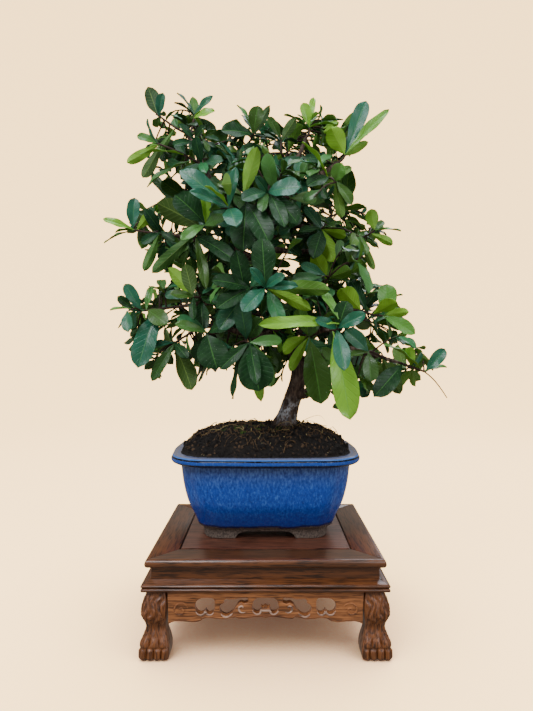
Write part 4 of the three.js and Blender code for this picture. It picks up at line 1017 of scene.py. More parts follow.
    @staticmethod
    def _bead(line: Outline, radius: float) -> Skin:
        """A carved bead along a line on the apron's face, thin at both ends."""
        path = [Vector((x, 0.15, z)) for x, z in line]
        return tube(path, lambda share, _: radius * (0.25 + 0.75 * sin(share * pi) ** 0.5), 8)

    def _curl(self, across: float, height: float, sign: int, steps: int = 18) -> Skin:
        """A carved curl on the apron's face.

        Args:
            across: Where its middle lies across.
            height: How high its middle lies.
            sign: The side to which it starts, 1 for the right.
            steps: How many steps it winds.

        Returns:
            Points and faces.
        """
        line = [(across + sign * (0.6 + 0.42 * k) * cos(k * 0.55) * 0.8,
                 height + (0.6 + 0.42 * k) * sin(k * 0.55) * 0.8) for k in range(steps)]
        return self._bead(line, 0.8)

    def _leg(self, left_right: int, front_back: int) -> None:
        """Makes one leg: carved knee, slim ankle and a clawed foot.

        Args:
            left_right: -1 for a left leg, 1 for a right one.
            front_back: -1 for a front leg, 1 for a back one.
        """
        knots = [(0, 73.5, 92.2), (1.4, 71.8, 93.7), (7, 71.4, 93.6), (13, 72.2, 92.4),
                 (18, 73.4, 90.4), (23, 74.2, 89), (33, 73.4, 92.2), (40, 73.2, 91.6),
                 (self.leg_height, 73.2, 88.4)]
        rows, count = 76, 96
        rings = []
        for row in range(rows + 1):
            z = self.leg_height * row / rows
            inner, outer = smooth_between(knots, z)
            half, middle = (outer - inner) / 2, (outer + inner) / 2
            ring = []
            for i in range(count):
                side, t = divmod(i / count * 4, 1)
                x, y = half, (t * 2 - 1) * half
                soft = 3.2
                over = max(0.0, abs(y) - (half - soft))
                x -= soft - sqrt(max(0.0, soft**2 - over**2))
                y -= copysign(over * 0.18, y)
                x -= self._carving(t, z, side in (1, 2), half)
                turn = Matrix.Rotation((side - 1) * pi / 2, 2)
                x, y = turn @ Vector((x, y))
                ring.append(Vector(((middle + x) * left_right,
                                    (middle + y - self._inset()) * front_back, z)))
            rings.append(ring)
        place = f"{'front' if front_back < 0 else 'back'}_{'left' if left_right < 0 else 'right'}"
        piece = mesh_object(f"stand_leg_{place}_fine", *loft(rings), self.centre)
        tidy_mesh(piece)
        hand_over(piece, [self.carved[Grain.UP]], [f"stand_leg_{place}"], 60)

    @staticmethod
    def _carving(t: float, z: float, outward: bool, half: float) -> float:
        """How deep the carving is cut at a place on a leg.

        Args:
            t: The share of the way across the face.
            z: The height.
            outward: Whether the face looks out from the stand.
            half: Half the leg's width there.

        Returns:
            The depth in millimetres; negative where the wood stands proud.
        """
        if not outward:
            return 0.25 * sin(t * 9) * ease(z, 4, 20)
        rim = ease(min(t, 1 - t), 0.0, 0.08)
        toe = 1 - abs(sin(t * 4 * pi)) ** 0.55
        toes = (1.9 * toe - 0.5 * (1 - toe)) * (1 - ease(z, 7.5, 10)) * rim
        nails = 0.9 * (1 - ease(z, 0.6, 2.8))
        knuckle = 1 - abs(sin(t * 3 * pi)) ** 0.6
        swell = exp(-((z - 13.2) / 3.4) ** 2)
        knuckles = (1.5 * knuckle - 0.9 * (1 - knuckle)) * swell * rim
        web = 0.9 * exp(-((z - 9.2) / 0.9) ** 2) * rim
        tendon = 0.55 * sin(t * 7 * pi) * ease(z, 17, 20) * (1 - ease(z, 25, 30)) * rim
        fur = 0.75 * sin(t * 26 + 2.2 * sin(z * 0.42 + t * 5)) \
            * ease(z, 26, 30) * (1 - ease(z, 44, 47)) * rim
        scroll = -0.7 * exp(-(((t - 0.5) * 2 * half) ** 2 + (z - 37) ** 2) / 14)
        return toes + nails + knuckles + web + tendon + fur + scroll


# Pot


@dataclass
class Pot:
    """The rectangular glazed pot on four corner feet."""

    centre: Vector
    foot: float = 74.0
    foot_length: float = 27.0
    foot_depth: float = 19.0
    arch_height: float = 6.4
    drain_radius: float = 10.0
    drain_place: float = 24.0
    corner_steps: int = 16
    side_steps: int = 14

    def build(self) -> None:
        """Makes the pot and finishes the two screens in it."""
        piece = mesh_object("glazed_pot_fine", *loft([self.ring(*row) for row in self._rows()]),
                            self.centre)
        tidy_mesh(piece)
        cutters = self._arches()
        for cutter in cutters:
            cut = piece.modifiers.new("arch", "BOOLEAN")
            cut.operation, cut.solver, cut.object = "DIFFERENCE", "EXACT", cutter
        apply_modifiers(piece)
        for cutter in cutters:
            bpy.data.objects.remove(cutter)
        glaze = Stoneware("stoneware_with_blue_glaze").build()
        hand_over(piece, [glaze], ["glazed_pot"], 38)
        screen = Plain("black_polypropylene", "#0c0c0c", "#1b1b1b", 0.55).build()
        for side in ("left", "right"):
            dress_solid(f"drain_screen_{side}", screen)

    def ring(self, z: float, x: float, y: float, corner: float, bow: float = 0.0,
             flute: float = 0.0) -> list[Vector]:
        """A ring round the pot with rounded corners and sides that bow out.

        Args:
            z: Its height.
            x: Half its length.
            y: Half its depth.
            corner: The radius of its corners.
            bow: How far the middle of each side stands out.
            flute: How deep the upright hollow in the middle of each corner is.

        Returns:
            The ring's points, counter-clockwise from above.
        """
        ring = []
        signs = ((1, -1), (1, 1), (-1, 1), (-1, -1))
        for i, (sx, sy) in enumerate(signs):
            start = (i - 1) * pi / 2
            for k in range(self.corner_steps):
                share = k / (self.corner_steps - 1)
                angle = start + share * pi / 2
                bend = corner - flute * exp(-((share - 0.5) / 0.15) ** 2)
                ring.append(Vector((sx * (x - corner) + cos(angle) * bend,
                                    sy * (y - corner) + sin(angle) * bend, z)))
            nx, ny = signs[(i + 1) % 4]
            out_x, out_y = round(cos(start + pi / 2)), round(sin(start + pi / 2))
            for k in range(1, self.side_steps + 1):
                t = k / (self.side_steps + 1)
                swell = bow * (4 * t * (1 - t)) ** 1.5
                px = out_x * (x + swell) if out_x else (sx + (nx - sx) * t) * (x - corner)
                py = out_y * (y + swell) if out_y else (sy + (ny - sy) * t) * (y - corner)
                ring.append(Vector((px, py, z)))
        return ring

    def _rows(self) -> list[tuple[float, ...]]:
        """The pot's rings from under its feet, up the outside and down the inside."""
        outside = [(84.2, 56.6, 33.6, 18, 0.4, 0.4), (91, 59, 37, 20, 0.6, 1),
                   (105, 65, 43.5, 24, 0.9, 1.6), (121, 68.6, 47.2, 26, 1.1, 1.7),
                   (136.6, 70.4, 49.4, 27, 1.2, 1)]
        inside = [(86, 50.5, 28, 14, 0), (91, 54.4, 32.4, 16, 0.6), (105, 60, 38.6, 19, 0.9),
                  (121, 63.8, 42.4, 22, 1.1), (138, 65.6, 44.8, 24, 1.2),
                  (144, 68.2, 47.4, 26, 1.2)]
        rows = [(74, 51.4, 28.4, 14.6), (74.5, 52, 29, 15), (82.2, 53, 30, 16),
                (83.2, 55.2, 32.2, 17.4, 0.2)]
        rows += [(z, *smooth_between(outside, z)) for z in
                 (84.2 + (136.6 - 84.2) * k / 22 for k in range(23))]
        rows += [(137.0, 71.2, 50.2, 27.4, 1.2, 0.6), (137.4, 73.4, 52.6, 28.8, 1.3),
                 (138, 75.6, 54.6, 29.8, 1.4), (138.8, 76.9, 55.9, 30.5, 1.5),
                 (139.8, 77.6, 56.6, 30.9, 1.5), (141, 77.9, 56.9, 31, 1.5),
                 (142, 77.9, 56.9, 31, 1.5), (142.6, 77.4, 56.4, 30.9, 1.5),
                 (143, 76.9, 55.9, 30.7, 1.5), (143.4, 77.2, 56.2, 30.8, 1.5),
                 (144.1, 77.1, 56.1, 30.8, 1.5), (144.7, 76.4, 55.4, 30.3, 1.4),
                 (145, 75.2, 54.2, 30, 1.4),
                 (144.7, 72.4, 51.6, 28.6, 1.3), (144.9, 70.2, 49.4, 27.4, 1.2),
                 (144.7, 69.2, 48.4, 26.6, 1.2)]
        rows += [(z, *smooth_between(inside, z)) for z in
                 (144 - (144 - 86) * k / 10 for k in range(11))]
        return rows

    def _arches(self) -> list[Piece]:
        """Cutters for the arches between the feet."""
        cutters = []
        for name, half, reach, turn in (
            ("front", 52 - self.foot_length, 50, 0),
            ("side", 31 - self.foot_depth, 75, pi / 2),
        ):
            outline = [(half, -1), (half, 1)]
            outline += [(half - 0.6 - (half * 0.42) * (1 - cos(a)),
                         1 + (self.arch_height - 1) * sin(a))
                        for a in (k / 8 * pi / 2 for k in range(1, 9))]
            outline += [(-x, z) for x, z in outline[::-1]]
            rows = [[Vector((x, y, self.foot + z)) for x, z in outline] for y in (reach, -reach)]
            points, faces = loft(rows)
            spin = Matrix.Rotation(turn, 3, "Z")
            cutters.append(mesh_object(f"arch_cutter_{name}", [spin @ p for p in points], faces,
                                       self.centre))
        for place in (-self.drain_place, self.drain_place):
            hole = [[Vector((place + cos(a) * self.drain_radius,
                             sin(a) * self.drain_radius, z)) for a in
                     (k / 48 * tau for k in range(48))] for z in (70, 95)]
            cutters.append(mesh_object("arch_cutter_drain", *loft(hole), self.centre))
        for cutter in cutters:
            tidy_mesh(cutter)
        return cutters


# Soil


@dataclass
class Soil:
    """The mound of peaty soil with its crumbs, fibres, grains and moss."""

    centre: Vector
    pot: Pot
    edge: float = 145.1
    mound: float = 18.6
    reach: tuple[float, float] = (71.0, 50.0)
    floor: float = 87.5
    fibres: int = 330
    tufts: int = 18
    seed: int = 5

    def build(self) -> None:
        """Makes the soil and what lies on it."""
        piece = self._mound()
        hand_over(piece, [Peat("peaty_soil").build()], ["soil"], 80)
        for name, density, size, finish, seed in (
            ("soil_crumbs", 0.3, 2.8, Peat("loose_peat_crumbs", "#0c0906", "#41341f"), 1),
            ("soil_grit", 0.005, 1.7, Plain("pale_grit", "#b9a04e", "#e6dba8", 0.7, 1.0), 2),
            ("bark_chips", 0.045, 4.6, Plain("bark_chips", "#100b07", "#5c4630", 0.9, 5.0), 3),
            ("soil_clods", 0.012, 8.5, Peat("peat_clods", "#0b0806", "#33271a"), 4),
        ):
            self._scatter(piece, name, density, size, finish.build(), seed)
        self._fibres()
        self._moss()

    def rise(self, x: float, y: float) -> float:
        """The soil's height over its edge, steep at the rim and nearly level on top."""
        spread = self._spread(x, y)
        mound = max(0.0, 1 - spread**4) ** 0.75
        crumbs = sin(x * 0.37 + y * 0.21) * cos(y * 0.43 - x * 0.13)
        return self.mound * mound + crumbs * 1.1 * ease(1 - spread, 0, 0.2)

    def _spread(self, x: float, y: float) -> float:
        """How near the rim a place is, from 0 in the middle to 1."""
        return ((abs(x) / self.reach[0])**3 + (abs(y) / self.reach[1])**3) ** (1 / 3)

    def surface(self, x: float, y: float) -> Vector:
        """The point of the rough soil surface over a place.

        Args:
            x: How far right of the pot's middle the place is.
            y: How far back.

        Returns:
            The point, from the pot's middle.
        """
        rough = noise.fractal(Vector((x, y, 3)) * 0.16, 0.6, 2.2, 4) * 1.7
        rough += noise.noise(Vector((x, y, 9)) * 0.7) * 0.8
        return Vector((x, y, self.edge + self.rise(x, y) + rough * ease(
            1 - self._spread(x, y), -0.02, 0.12)))

    def _mound(self) -> Piece:
        """Makes the soil body that fills the pot."""
        rows = [(self.floor, 50.7, 28.5, 14), (91, 54.1, 32.1, 16, 0.6), (105, 59.7, 38.3, 19, 0.9),
                (121, 63.5, 42.1, 22, 1.1), (138, 65.3, 44.5, 24, 1.2), (142, 66.4, 45.6, 25, 1.2),
                (144.2, 67.8, 47, 26, 1.2), (145, 68.8, 48, 26.4, 1.2)]
        rings = [self.pot.ring(*row) for row in rows]
        rim = self.pot.ring(self.edge, 70.6, 49.6, 27.6, 1.2)
        steps = 56
        for k in range(steps):
            share = 1 - (k / steps) ** 1.1
            rings.append([self.surface(p.x * share, p.y * share) for p in rim])
        piece = mesh_object("soil_fine", *loft(rings), self.centre)
        tidy_mesh(piece)
        return piece

    def _scatter(self, ground: Piece, name: str, density: float, size: float,
                 finish: Material, seed: int) -> None:
        """Scatters small lumps over the soil's top with a node tree.

        Args:
            ground: The soil.
            name: The new piece's name.
            density: Lumps to a square millimetre.
            size: The size of a lump.
            finish: The lumps' material.
            seed: The seed of the scatter.
        """
        net = Net(bpy.data.node_groups.new(f"scatter_{name}", "GeometryNodeTree"))
        sockets = {}
        for label, kind, direction in (
            ("Ground", "NodeSocketGeometry", "INPUT"), ("Density", "NodeSocketFloat", "INPUT"),
            ("Size", "NodeSocketFloat", "INPUT"), ("Lowest", "NodeSocketFloat", "INPUT"),
            ("Seed", "NodeSocketInt", "INPUT"), ("Lumps", "NodeSocketGeometry", "OUTPUT"),
        ):
            made = net.tree.interface.new_socket(label, in_out=direction, socket_type=kind)
            sockets[label] = made.identifier
        given = net.add("NodeGroupInput")
        height = net.add(SPLIT, {0: net.add("GeometryNodeInputPosition")}).outputs["Z"]
        high = net.add("FunctionNodeCompare", {0: height, 1: given.outputs["Lowest"]},
                       data_type="FLOAT", operation="GREATER_THAN")
        spots = net.add("GeometryNodeDistributePointsOnFaces", {
            "Mesh": given.outputs["Ground"], "Selection": high,
            "Density": given.outputs["Density"], "Seed": given.outputs["Seed"],
        })
        lump = net.add("GeometryNodeMeshIcoSphere",
                       {"Radius": given.outputs["Size"], "Subdivisions": 1})
        turn = net.add("FunctionNodeRandomValue", {
            0: (0, 0, 0), 1: (tau, tau, tau), "Seed": given.outputs["Seed"],
        }, data_type="FLOAT_VECTOR")
        scale = net.add("FunctionNodeRandomValue", {
            0: (0.2, 0.3, 0.2), 1: (1.1, 0.7, 0.6), "Seed": given.outputs["Seed"],
        }, data_type="FLOAT_VECTOR")
        copies = net.add("GeometryNodeInstanceOnPoints", {
            "Points": spots, "Instance": lump, "Rotation": turn, "Scale": scale})
        real = net.add("GeometryNodeRealizeInstances", {0: copies})
        dressed = net.add("GeometryNodeSetMaterial", {"Geometry": real, "Material": finish})
        net.add("NodeGroupOutput", {0: dressed})
        piece = new_object(name, ground.data.copy())
        made = piece.modifiers.new("scatter", "NODES")
        made.node_group = net.tree
        made[sockets["Density"]] = density / MM**2
        made[sockets["Size"]] = size / 2 * MM
        made[sockets["Lowest"]] = (self.edge + 0.6) * MM
        made[sockets["Seed"]] = self.seed + seed
        apply_modifiers(piece)
        hand_over(piece)

    def _fibres(self) -> None:
        """Lays thin peat fibres and a few dry grass stalks on the soil."""
        luck = Random(self.seed)
        parts, straws = [], []
        for i in range(self.fibres):
            turn, share = luck.uniform(0, tau), sqrt(luck.uniform(0.01, 0.98))
            x, y = cos(turn) * 68 * share, sin(turn) * 47 * share
            way = luck.uniform(0, tau)
            length = luck.uniform(4, 13)
            tilt = luck.choice((0, 0, 0, 0.12, 0.3))
            line = []
            for k in range(4):
                s = (k / 3 - 0.5) * length
                px = x + cos(way + s * 0.06) * s
                py = y + sin(way + s * 0.06) * s
                lift = 0.5 + luck.uniform(0, 0.9) + (s + length / 2) * tilt
                line.append(self.surface(px, py) + Vector((0, 0, lift)))
            path = curve_points(line, 8)
            target = straws if i % 9 == 0 else parts
            thick = luck.uniform(0.2, 0.42)
            target.append(tube(path, lambda *_, thick=thick: thick, 4))
        for points in (
            [(27, -8, 0.5), (36, -14, 9), (46, -18, 13), (52, -20, 9)],
            [(24, -14, 0.5), (20, -22, 6), (12, -28, 7), (6, -31, 2)],
            [(30, 2, 0.5), (38, 0, 6), (50, -4, 4)],
            [(-22, -16, 0.5), (-30, -22, 4), (-40, -24, 3)],
        ):
            line = [self.surface(x, y) + Vector((0, 0, lift)) for x, y, lift in points]
            straws.append(tube(curve_points(line, 14), lambda share, _: 0.3 * (1.1 - share), 5))
        for name, some, finish in (
            ("peat_fibres", parts, Plain("peat_fibre", "#20160d", "#6e5537", 0.9, 2.0)),
            ("dry_grass", straws, Plain("dry_grass", "#7d6a40", "#b9a672", 0.75, 3.0)),
        ):
            piece = mesh_object(name, *joined(some), self.centre)
            hand_over(piece, [finish.build()], sharp=60)

    def _moss(self) -> None:
        """Sets small tufts of moss on the soil near the trunk."""
        luck = Random(self.seed + 20)
        parts = []
        for _ in range(self.tufts):
            turn, share = luck.uniform(0, tau), luck.uniform(0.1, 0.95)
            x, y = -4 + cos(turn) * 44 * share, -22 + sin(turn) * 18 * share
            for _ in range(luck.randint(10, 26)):
                base = self.surface(x + luck.gauss(0, 1.6), y + luck.gauss(0, 1.4))
                tip = base + Vector((luck.gauss(0, 0.6), luck.gauss(0, 0.6),
                                     luck.uniform(0.9, 2.0)))
                line = [base - Vector((0, 0, 0.5)), (base + tip) / 2, tip]
                parts.append(tube(line, lambda share, _: 0.24 * (1.15 - share), 4))
        piece = mesh_object("moss_tufts", *joined(parts), self.centre)
        moss = Plain("living_moss", "#2f4a1c", "#5d7d2c", 0.9, 1.0).build()
        hand_over(piece, [moss])


# Wood


@dataclass(frozen=True)
class View:
    """The front view in which the tree's points are given, in its own units."""

    unit: float = 0.88
    middle: float = 265.5
    floor: float = 611.25
    eye_distance: float = 475.0
    eye_height: float = 229.0

    def at(self, across: float, down: float, back: float) -> Vector:
        """A point of the view.

        Args:
            across: How far across the view it lies.
            down: How far down the view.
            back: How many millimetres it lies behind the trunk's plane.

        Returns:
            The point, in millimetres.
        """
        reach = (self.eye_distance + back) / self.eye_distance
        z = (self.floor - down) * self.unit
        return Vector(((across - self.middle) * self.unit * reach, back,
                       self.eye_height + (z - self.eye_height) * reach))

    def seen(self, point: Vector) -> Vector:
        """Where a point lies in the view."""
        reach = (self.eye_distance + point.y) / self.eye_distance
        return Vector((self.middle + point.x / reach / self.unit,
                       self.floor - (self.eye_height + (point.z - self.eye_height) / reach)
                       / self.unit))


VIEW = View()


@dataclass(frozen=True)
class Limb:
    """A limb: its radius at both ends and the points of the view that it passes."""

    thick: float
    thin: float
    passes: tuple[Point, ...]

    @property
    def points(self) -> list[Vector]:
        """The points it passes, in millimetres."""
        return [VIEW.at(*p) for p in self.passes]

    def radius(self, share: float) -> float:
        """The radius at a share of the way."""
        return self.thick + (self.thin - self.thick) * share


TRUNK = ((284, 446, 0), (284.3, 438, 0), (284.8, 428, 0), (287, 418, 0), (290.5, 405, 0),
         (296.5, 386, -1), (299, 371, -2), (294.5, 352, -3), (286, 331, -3), (278, 308, -2),
         (270, 284, 0), (263, 255, 0), (262, 230, 0), (266, 205, 2), (262, 184, 4))
TRUNK_RADII = (9, 11.2, 11.6, 9.2, 7.9, 6.9, 6.5, 6, 5.5, 5, 4.5, 3.9, 3.4, 2.7, 1.5)
LIMBS = {
    "upper_left": Limb(3.6, 1.7, ((262, 229, 0), (240, 206, -8), (212, 182, -14),
                                  (198, 156, -12), (187, 133, -8))),
    "upper_right": Limb(3.6, 1.7, ((263, 222, 0), (291, 197, -12), (318, 177, -14), (336, 164, -9))),
    "top": Limb(2.9, 1.4, ((266, 205, 2), (277, 177, -3), (297, 158, -2), (306, 138, 0))),
    "top_back": Limb(2.5, 1.3, ((264, 193, 3), (250, 166, 14), (246, 145, 16))),
    "left_high": Limb(3, 1.3, ((264, 262, 0), (226, 247, -6), (188, 238, -8), (163, 234, -7))),
    "left_mid": Limb(3.2, 1.4, ((275, 303, -1), (240, 306, -14), (206, 303, -18), (178, 307, -16))),
    "left_low": Limb(3.2, 1.5, ((289, 341, -3), (252, 336, -18), (218, 326, -20), (198, 328, -20))),
    "right_high": Limb(3, 1.3, ((263, 248, 0), (300, 252, 10), (334, 247, 14), (353, 241, 12))),
    "right_mid": Limb(3.2, 1.4, ((273, 293, 0), (310, 301, -8), (343, 307, -14), (358, 310, -15))),
    "right_low": Limb(3.8, 1.3, ((298, 364, -2), (324, 352, -14), (350, 349, -22),
                                 (380, 357, -24), (400, 363, -24))),
    "front_low": Limb(3.2, 1.5, ((296, 356, -3), (302, 340, -20), (320, 331, -40), (330, 330, -50))),
    "front_mid": Limb(3, 1.4, ((275, 301, -2), (271, 292, -32), (267, 289, -56))),
    "front_high": Limb(2.8, 1.4, ((262, 240, -1), (252, 224, -28), (238, 213, -46))),
    "front_left": Limb(3, 1.5, ((285, 330, -3), (262, 334, -30), (250, 338, -46))),
    "back_low_left": Limb(3.2, 1.4, ((281, 318, 0), (250, 312, 34), (222, 312, 60))),
    "back_low_right": Limb(3.2, 1.4, ((288, 336, 0), (318, 326, 32), (348, 322, 56))),
    "back_mid": Limb(3, 1.4, ((268, 278, 2), (266, 268, 34), (262, 262, 62))),
    "back_right": Limb(2.8, 1.3, ((262, 240, 2), (294, 228, 34), (322, 222, 54))),
    "back_left": Limb(2.8, 1.3, ((262, 232, 2), (236, 214, 30), (208, 206, 50))),
    "back_top": Limb(2.4, 1.3, ((265, 200, 4), (274, 178, 28), (282, 164, 40))),
}
STUBS = (Limb(4.6, 4.2, ((292, 396, -1), (300, 394.5, -4), (308, 393, -6))),
         Limb(1.6, 1.3, ((297, 384, 0), (305, 380, -1), (311, 377.5, -2))))
# Each shoot's twig: the limb it leaves, where along it, and the two points it passes.
TWIGS = {
    "top_left_tip": ("upper_left", 0.99, (176, 128, -8), (156, 114, -6)),
    "top_left_crown": ("upper_left", 0.93, (192, 128, 0), (195, 114, 4)),
    "top_left_side": ("upper_left", 0.66, (178, 152, -20), (156, 143, -22)),
    "top_centre": ("top_back", 0.99, (250, 141, 12), (254, 133, 8)),
    "top_mid": ("top", 0.55, (282, 154, -14), (281, 139, -14)),
    "top_right_centre": ("top", 0.99, (309, 133, 1), (309, 126, 2)),
    "top_right_tip": ("upper_right", 0.99, (342, 160, -7), (346, 154, -6)),
    "top_right_side": ("upper_right", 0.62, (330, 178, -28), (336, 182, -36)),
    "upper_centre": ("upper_right", 0.33, (275, 192, -34), (266, 193, -48)),
    "front_high_tip": ("front_high", 0.99, (232, 210, -54), (228, 208, -60)),
    "front_high_side": ("front_high", 0.55, (247, 204, -44), (243, 196, -54)),
    "left_high_tip": ("left_high", 0.99, (146, 232, -6), (132, 230, -5)),
    "left_high_big": ("left_high", 0.62, (200, 230, -26), (206, 224, -32)),
    "left_mid_tip": ("left_mid", 0.99, (158, 309, -16), (141, 311, -16)),
    "left_mid_inner": ("left_mid", 0.72, (200, 298, -30), (192, 297, -38)),
    "left_mid_front": ("left_mid", 0.38, (245, 298, -38), (252, 287, -52)),
    "left_low_tip": ("left_low", 0.99, (184, 337, -22), (173, 344, -22)),
    "left_low_front": ("left_low", 0.6, (214, 334, -34), (206, 333, -42)),
    "front_left_tip": ("front_left", 0.99, (246, 341, -54), (250, 343, -60)),
    "front_mid_tip": ("front_mid", 0.99, (266, 289, -62), (265, 288, -66)),
    "front_low_tip": ("front_low", 0.99, (335, 330, -56), (338, 329, -60)),
    "front_low_side": ("front_low", 0.5, (308, 336, -34), (309, 337, -42)),
    "right_low_tip": ("right_low", 0.99, (414, 368, -24), (426, 372, -23)),
    "right_low_mid": ("right_low", 0.8, (372, 352, -36), (368, 352, -42)),
    "right_mid_tip": ("right_mid", 0.99, (374, 315, -16), (386, 316, -18)),
    "right_mid_up": ("right_mid", 0.5, (322, 288, -18), (328, 278, -24)),
    "right_high_tip": ("right_high", 0.99, (366, 236, 9), (375, 230, 6)),
    "right_high_front": ("right_high", 0.5, (322, 238, -6), (322, 228, -18)),
    "back_low_left_tip": ("back_low_left", 0.99, (206, 318, 74), (192, 322, 80)),
    "back_low_right_tip": ("back_low_right", 0.99, (364, 320, 70), (376, 324, 78)),
    "back_mid_tip": ("back_mid", 0.99, (262, 262, 78), (264, 266, 88)),
    "back_right_tip": ("back_right", 0.99, (336, 214, 66), (346, 208, 74)),
    "back_left_tip": ("back_left", 0.99, (192, 202, 62), (176, 202, 68)),
    "back_top_tip": ("back_top", 0.99, (288, 152, 50), (290, 144, 56)),
}


def twig_points(name: str) -> list[Vector]:
    """The points that a shoot's twig passes, from its limb outward."""
    limb, share, *rest = TWIGS[name]
    return [curve_at(LIMBS[limb].points, share), *(VIEW.at(*p) for p in rest)]


@dataclass
class Wood:
    """The trunk with its limbs and cut stubs, grown as one and covered with bark."""

    centre: Vector
    root_lobes: int = 3
    root_swell: float = 0.14
    voxel: float = 0.75
    bark_depth: float = 0.55

    def build(self) -> None:
        """Makes the wood."""
        parts = [self._trunk(), *(self._branch(limb) for limb in (*LIMBS.values(), *STUBS))]
        piece = mesh_object("trunk_and_limbs_fine", *joined(parts), self.centre)
        grown = piece.modifiers.new("grown_together", "REMESH")
        grown.mode, grown.voxel_size = "VOXEL", self.voxel * MM
        apply_modifiers(piece)
        self._roughen(piece)
        hand_over(piece, [Bark("firethorn_bark").build()], ["trunk_and_limbs"], 180)

    def _trunk(self) -> Skin:
        """The trunk, swollen into root lobes at its foot."""
        path = curve_points([VIEW.at(*p) for p in TRUNK], 120)

        def radius(share: float, angle: float) -> float:
            """The radius at a share of the height and an angle."""
            place = share * (len(TRUNK_RADII) - 1)
            i = min(int(place), len(TRUNK_RADII) - 2)
            plain = TRUNK_RADII[i] + (TRUNK_RADII[i + 1] - TRUNK_RADII[i]) * (place - i)
            lobes = self.root_swell * (1 - ease(share, 0.1, 0.3)) * sin(angle * self.root_lobes)
            twist = 0.05 * sin(angle * 4 + share * 19) + 0.03 * sin(angle * 7 - share * 31)
            return plain * (1 + lobes + twist)

        return tube(path, radius, 40)

    @staticmethod
    def _branch(limb: Limb) -> Skin:
        """A limb with small knots along it."""
        path = curve_points(limb.points, 28)
        return tube(path, lambda share, angle: limb.radius(share) * (
            1.02 + 0.06 * sin(share * 41 + angle)
            + 0.06 * max(0.0, sin(share * 23)) ** 6), 20)

    def _roughen(self, piece: Piece) -> None:
        """Cuts the bark's fissures along the way the wood grows.

        Args:
            piece: The smooth wood.
        """
        skin = [(v.co / MM, v.normal.copy()) for v in piece.data.vertices]
        moved = []
        for place, normal in skin:
            grain = Vector((place.x * 0.42, place.y * 0.42, place.z * (0.13 + 0.2 * abs(normal.z))))
            fissure = 1 - abs(noise.noise(grain)) * 2.6
            scale = ease(place.z, 100, 178) * 0.4 + 0.6 * (1 - ease(place.z, 240, 330))
            fine = noise.noise(place * 0.9) * 0.25
            depth = self.bark_depth * max(0.25, scale) * (fine - max(0.0, fissure) * 0.75 + 0.2)
            moved.extend((place + normal * depth) * MM)
        piece.data.vertices.foreach_set("co", moved)
        piece.data.update()


# Foliage


@dataclass(frozen=True)
class Tone:
    """How light and how yellow a leaf is, from 0 to 1."""

    light: float
    yellow: float


class LeafTone(Enum):
    """The tones seen on single leaves, with the view's places of their tips."""

    LIME = (Tone(0.95, 0.75), (
        (215, 111), (213, 109), (303, 103), (314, 98), (282, 198), (103, 219), (258, 325), (350, 420),
        (397, 302), (331, 128), (302, 142), (205, 186), (341, 289), (409, 312)))
    GREEN = (Tone(0.8, 0.4), (
        (257, 147), (110, 310), (261, 402), (290, 371), (447, 367), (387, 284), (368, 142), (415, 334),
        (401, 231), (393, 244), (384, 344), (371, 209), (319, 116), (341, 163)))
    OLIVE = (Tone(0.85, 0.55), (
        (389, 110), (127, 163), (143, 152), (152, 212), (168, 268), (283, 352), (311, 310), (314, 254),
        (333, 262), (346, 236), (324, 209), (337, 124), (409, 347)))
    MATT = (Tone(0.14, 0.75), (
        (321, 403), (192, 390), (157, 203), (400, 394), (396, 394), (143, 178), (185, 264), (258, 106)))
    TEAL = (Tone(0.5, 0.0), (
        (180, 170), (189, 191), (236, 167), (236, 227), (366, 101), (298, 286), (285, 275), (242, 312),
        (366, 314), (315, 320), (344, 371), (138, 368), (301, 188), (163, 93), (193, 97), (147, 119),
        (445, 349), (417, 353), (149, 346), (125, 284), (135, 198), (253, 309), (250, 268)))
    SHADED = (Tone(0.04, 0.1), (
        (148, 87), (347, 301), (374, 397), (243, 252), (269, 243), (262, 238), (236, 262), (217, 369),
        (197, 362), (240, 318), (188, 359), (212, 280), (236, 250), (203, 331), (221, 131), (278, 142),
        (175, 195), (259, 391), (257, 385), (233, 399), (216, 309), (298, 224), (285, 228), (307, 186),
        (313, 259)))


@dataclass
class Blade:
    """A leaf's frame: its root, its three axes and its sizes in millimetres."""

    root: Vector
    along: Vector
    side: Vector
    up: Vector
    length: float
    half: float
    bow: float = 0.07
    fold: float = 0.24

    @property
    def tip(self) -> Vector:
        """The leaf's tip."""
        return self.root + self.along * self.length

    def point(self, share: float, half: float, lift: float = 0.0) -> Vector:
        """A point of the blade's middle face.

        Args:
            share: The share of the length.
            half: How far across it lies, in millimetres along the fold.
            lift: How far it lies over the middle face.

        Returns:
            The point.
        """
        arch = self.bow * self.length * 4 * share * (1 - share)
        return (self.root + self.along * (self.length * share)
                + self.side * (half * cos(self.fold))
                + self.up * (arch + abs(half) * sin(self.fold) + lift))


# The last two rows of corners of a solid blade, small or large: shares of its length and of its
# half width.
BLADE_KINDS = (((0.4, 0.8), (0.76, 1)), ((0.62, 1), (0.87, 0.76)))


